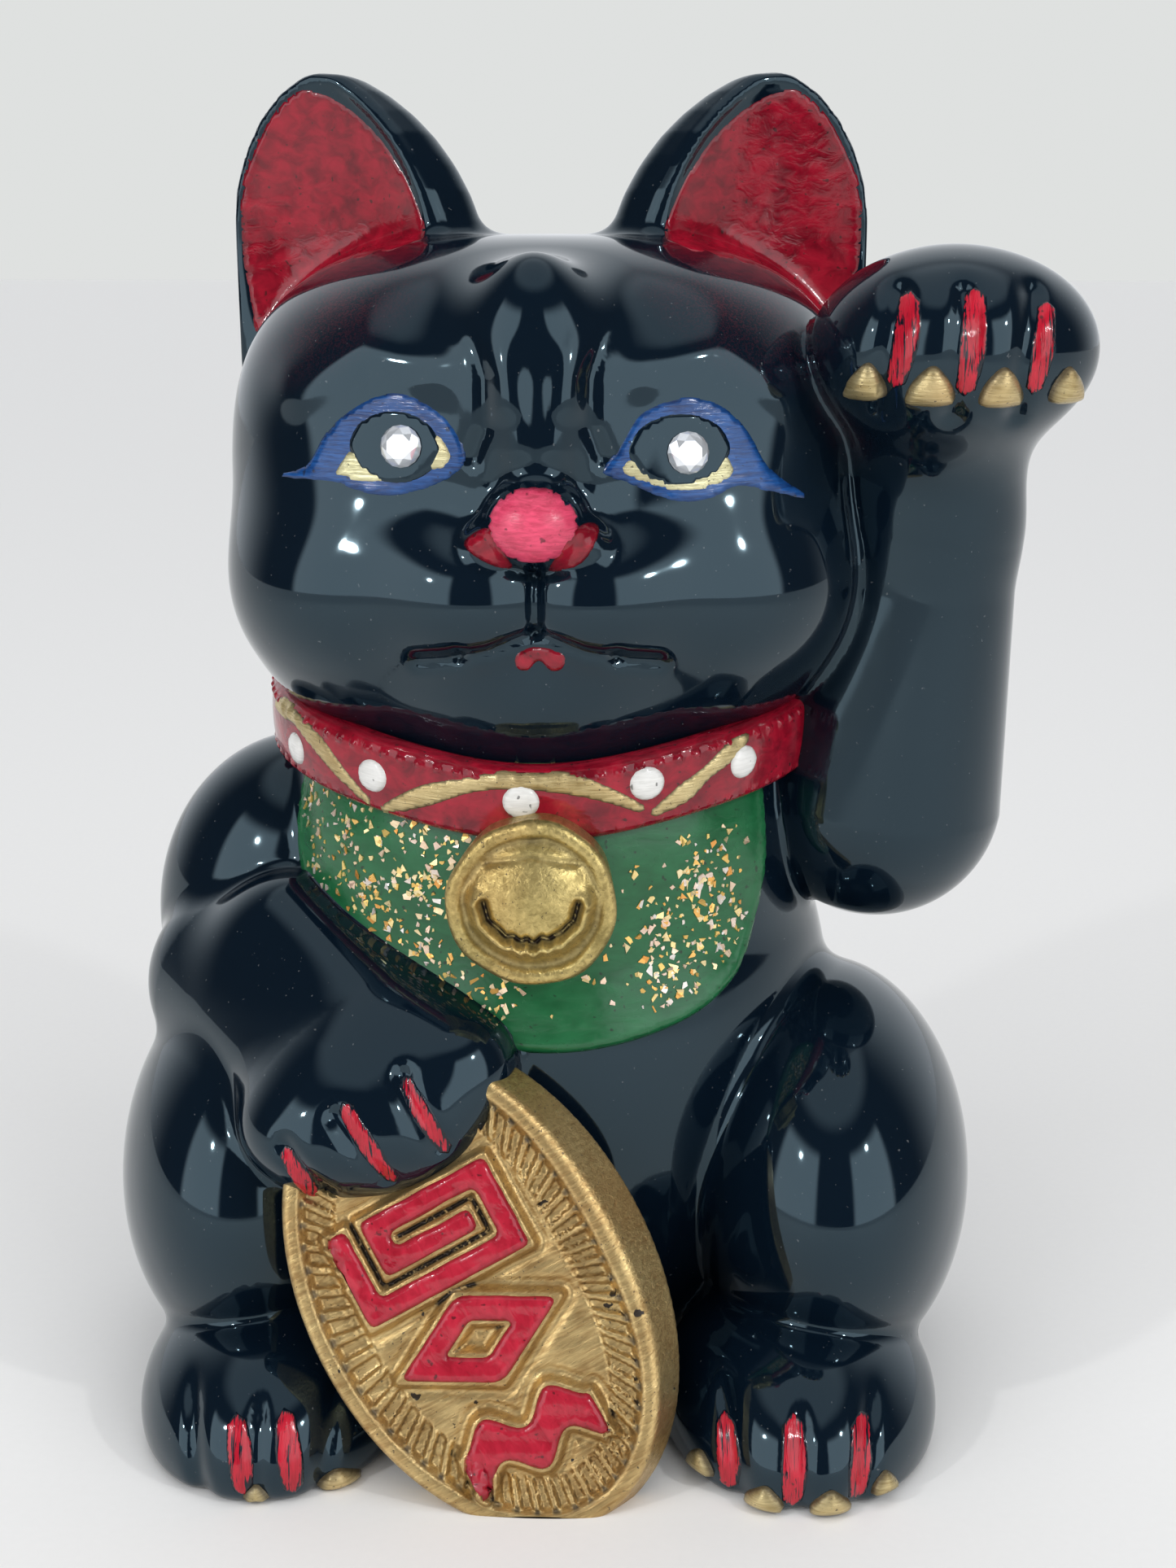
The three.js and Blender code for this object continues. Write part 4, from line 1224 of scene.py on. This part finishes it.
def finishes():
    """Every material, by its name."""
    made = [
        black_glaze(),
        enamel("red_enamel", (0.34, 0.006, 0.022), (0.13, 0.003, 0.010), (0.25, 0.35, 1)),
        enamel("coin_red", (0.46, 0.018, 0.04), (0.28, 0.008, 0.02), (0.6, 0.3, 1), 30),
        enamel("stripe_red", (0.58, 0.012, 0.035), (0.30, 0.006, 0.016), (1.9, 0.16, 1), bare=0.40),
        enamel("green_enamel", (0.014, 0.13, 0.045), (0.008, 0.085, 0.028), (0.12, 0.3, 1), 20, 0.25,
               (0.18, 0.3)),
        enamel("blue_enamel", (0.013, 0.082, 0.28), (0.004, 0.022, 0.095)),
        enamel("pink_enamel", (0.74, 0.07, 0.15), (0.42, 0.03, 0.07), (0.45, 1.6, 1), 35, 0.75, (0.2, 0.4)),
        enamel("white_enamel", (0.84, 0.83, 0.80), (0.66, 0.65, 0.62), worn=0.2),
        gold_paint("aged_gold", (0.78, 0.64, 0.34), (0.40, 0.30, 0.13)),
        gold_paint("iris_gold", (0.74, 0.70, 0.44), (0.46, 0.42, 0.22), patina=0.4),
        gold_paint("coin_gold", (0.74, 0.55, 0.25), (0.34, 0.21, 0.08), (0.14, 1.3, 1), 32, 1.0, chips=0.69),
        gold_paint("bell_gold", (0.70, 0.55, 0.22), (0.30, 0.23, 0.08), (0.9, 0.25, 1), 0, 1.0),
        foil(), glass(), rubber(),
    ]
    return {material.name.split(".")[0]: material for material in made}


# ==== Stage ==============================================================================


def stage_material(name, colour, roughness):
    n = material_nodes(name)
    grain = n.noise(600, 3)
    return n.done(n.mix(grain, colour, tuple(c * 1.03 for c in colour)), roughness)


FLOOR_HALF = 6.0


def make_floor():
    mesh = bpy.data.meshes.new("floor")
    corners = [(-FLOOR_HALF, -FLOOR_HALF, 0), (FLOOR_HALF, -FLOOR_HALF, 0),
               (FLOOR_HALF, FLOOR_HALF, 0), (-FLOOR_HALF, FLOOR_HALF, 0)]
    mesh.from_pydata(corners, [], [(0, 1, 2, 3)])
    mesh.materials.append(stage_material("floor_paper", (0.84, 0.829, 0.813), 0.7))
    linked("floor", mesh)


PANEL = (0.42, 1.25)      # angles from straight ahead between which a side panel stands
PANEL_LIGHT = 1.75
REAR_LIGHT = 0.9
TOP_LIGHT = 0.6
ROOM_LIGHT = 0.05


def make_world():
    """A light tent: pale to the camera, with soft grey panels to the left and right in reflections."""
    world = bpy.data.worlds.new("tent")
    bpy.context.scene.world = world
    n = Nodes(world)
    n.tree.nodes.clear()

    def band(value, low, high, soft):
        """1 between low and high with soft ends."""
        up = n.span(value, low - soft, low + soft, 0.0, 1.0, "SMOOTHSTEP")
        return n.maths("MULTIPLY", up, n.span(value, high - soft, high + soft, 1.0, 0.0, "SMOOTHSTEP"))

    split = n.add("ShaderNodeSeparateXYZ")
    n.link(n.add("ShaderNodeTexCoord").outputs["Generated"], split.inputs[0])
    x, y, z = split.outputs
    side = n.maths("ARCTAN2", x, n.maths("MULTIPLY", y, -1.0))      # 0 straight in front, + to the right
    near, far = PANEL
    panels = n.maths("ADD", band(side, -far, -near, 0.05), band(side, near, far, 0.05))
    panels = n.maths("MULTIPLY", panels, band(z, -0.10, 0.66, 0.05))
    rear = n.maths("MULTIPLY", band(y, 0.45, 2.0, 0.35), band(z, -2.0, 0.9, 0.2))
    light = ROOM_LIGHT
    for part, strength in ((panels, PANEL_LIGHT), (rear, REAR_LIGHT), (band(z, 0.86, 2.0, 0.05), TOP_LIGHT)):
        light = n.maths("ADD", light, n.maths("MULTIPLY", part, strength))
    choose = n.add("ShaderNodeMixShader")
    n.link(n.add("ShaderNodeLightPath").outputs["Is Camera Ray"], choose.inputs[0])
    for index, (colour, strength) in enumerate((((0.93, 0.96, 1.0), light), ((0.737, 0.752, 0.744), 1.0))):
        background = n.add("ShaderNodeBackground")
        n.tinted(background.inputs["Color"], colour)
        n.put(background.inputs["Strength"], strength)
        n.link(background.outputs[0], choose.inputs[1 + index])
    n.link(choose.outputs[0], n.add("ShaderNodeOutputWorld").inputs["Surface"])


def lamp(kind, name, place, target, power, in_glaze, **settings):
    """A lamp, which the glaze mirrors only if in_glaze."""
    light = bpy.data.lights.new(name, kind)
    light.energy = power
    for key, value in settings.items():
        setattr(light, key, value)
    obj = linked(name, light)
    obj.location = place
    obj.rotation_euler = (Vector(target) - Vector(place)).to_track_quat("-Z", "Y").to_euler()
    obj.visible_glossy = in_glaze


def make_lights():
    disk = {"shape": "DISK", "size": 0.05}
    lamp("AREA", "lamp_left", (-0.62, -0.62, 0.66), (0, 0, 0.12), 1.5, True, **disk)
    lamp("AREA", "lamp_right", (0.66, -0.55, 0.70), (0, 0, 0.12), 1.5, True, **disk)
    lamp("AREA", "front_fill", (0, -1.0, 0.45), (0, 0, 0.1), 1.7, False, shape="DISK", size=0.9)
    lamp("SUN", "sky", (0.1, -0.5, 1.0), (0, 0, 0), 1.0, False, angle=math.radians(80))


CAMERA_AT = (22.9, -442.7, 217.6)
CAMERA_TO = (7.4, 0, 107.2)
CAMERA_ANGLE = 36.8


def make_camera():
    """In front of the figure and a little above it."""
    lens = bpy.data.cameras.new("camera")
    lens.sensor_fit = "VERTICAL"
    lens.angle = math.radians(CAMERA_ANGLE)
    lens.clip_start = 0.01
    camera = linked("camera", lens)
    place = Vector(in_frame(*CAMERA_AT))
    camera.location = place
    camera.rotation_euler = (Vector(in_frame(*CAMERA_TO)) - place).to_track_quat("-Z", "Y").to_euler()
    bpy.context.scene.camera = camera
    bpy.context.scene.view_settings.view_transform = "Standard"


# ==== Assembly ===========================================================================

VOXEL = 0.9
FINE = 0.5


def place(piece, slot, node=None, body=FIGURE):
    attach(piece, body)
    if node:
        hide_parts(node)


def collar_grain(p):
    q = collar_place(p)
    return np.column_stack([np.arctan2(q[:, 0], -q[:, 1]) * COLLAR_RADIUS, q[:, 2], norm(q[:, :2]) - 50])


make_camera()
make_floor()
make_world()
make_lights()
finish = finishes()
for node, piece in castings(finish["black_glaze"]).items():
    place(piece, "black_glaze", node)
for piece, slot in list(painted(finish)):
    place(piece, slot)
place(sculpted("collar_band", collar, (-56, -60, 108), (56, 54, 140), FINE, finish["red_enamel"],
               collar_grain), "red_enamel", "collar")
place(film("bib_cloth", curve(BIB, steps=5), finish["green_enamel"], field=torso, rays=from_round,
           thick=BIB_THICK, edge=1.3, spacing=1.2, bead=0.5, bead_at=1.5), "green_enamel", "bib")
place(foil_flakes(finish["gold_foil"]), "gold_foil")
place(sculpted("bell_cast", bell, (BELL_X - 16, -68, BELL_Z - 16), (BELL_X + 16, -50, BELL_Z + 17),
               FINE * 0.7, finish["bell_gold"], lambda p: p - vec(BELL_X, 0, BELL_Z)), "aged_gold", "bell")
place(sculpted("koban_plate", coin, (-50, -90, -2), (34, -52, 84), FINE, finish["coin_gold"], coin_place),
      "aged_gold", "koban")
for name, outline, holes in (("fret", rounded(fret_outline(), 1.4, 3), ()),
                             ("lozenge", rounded(lozenge_outline(), 2.2, 4),
                              (rounded(lozenge_outline(LOZENGE_HOLE), 1.0, 3),)),
                             ("waves", rounded(waves_outline(), 1.4, 2), ())):
    place(film(f"koban_{name}_red", outline, finish["coin_red"], field=coin, rays=from_coin, thick=0.8,
               edge=1.1, holes=holes), "red_enamel", f"koban_{name}")
for node, at in STONES.items():
    place(stone(node, at, finish["glass_stone"]), "glass_stone", node)
place(stopper(finish["stopper_rubber"]), "stopper_rubber", "base_stopper", STOPPER)
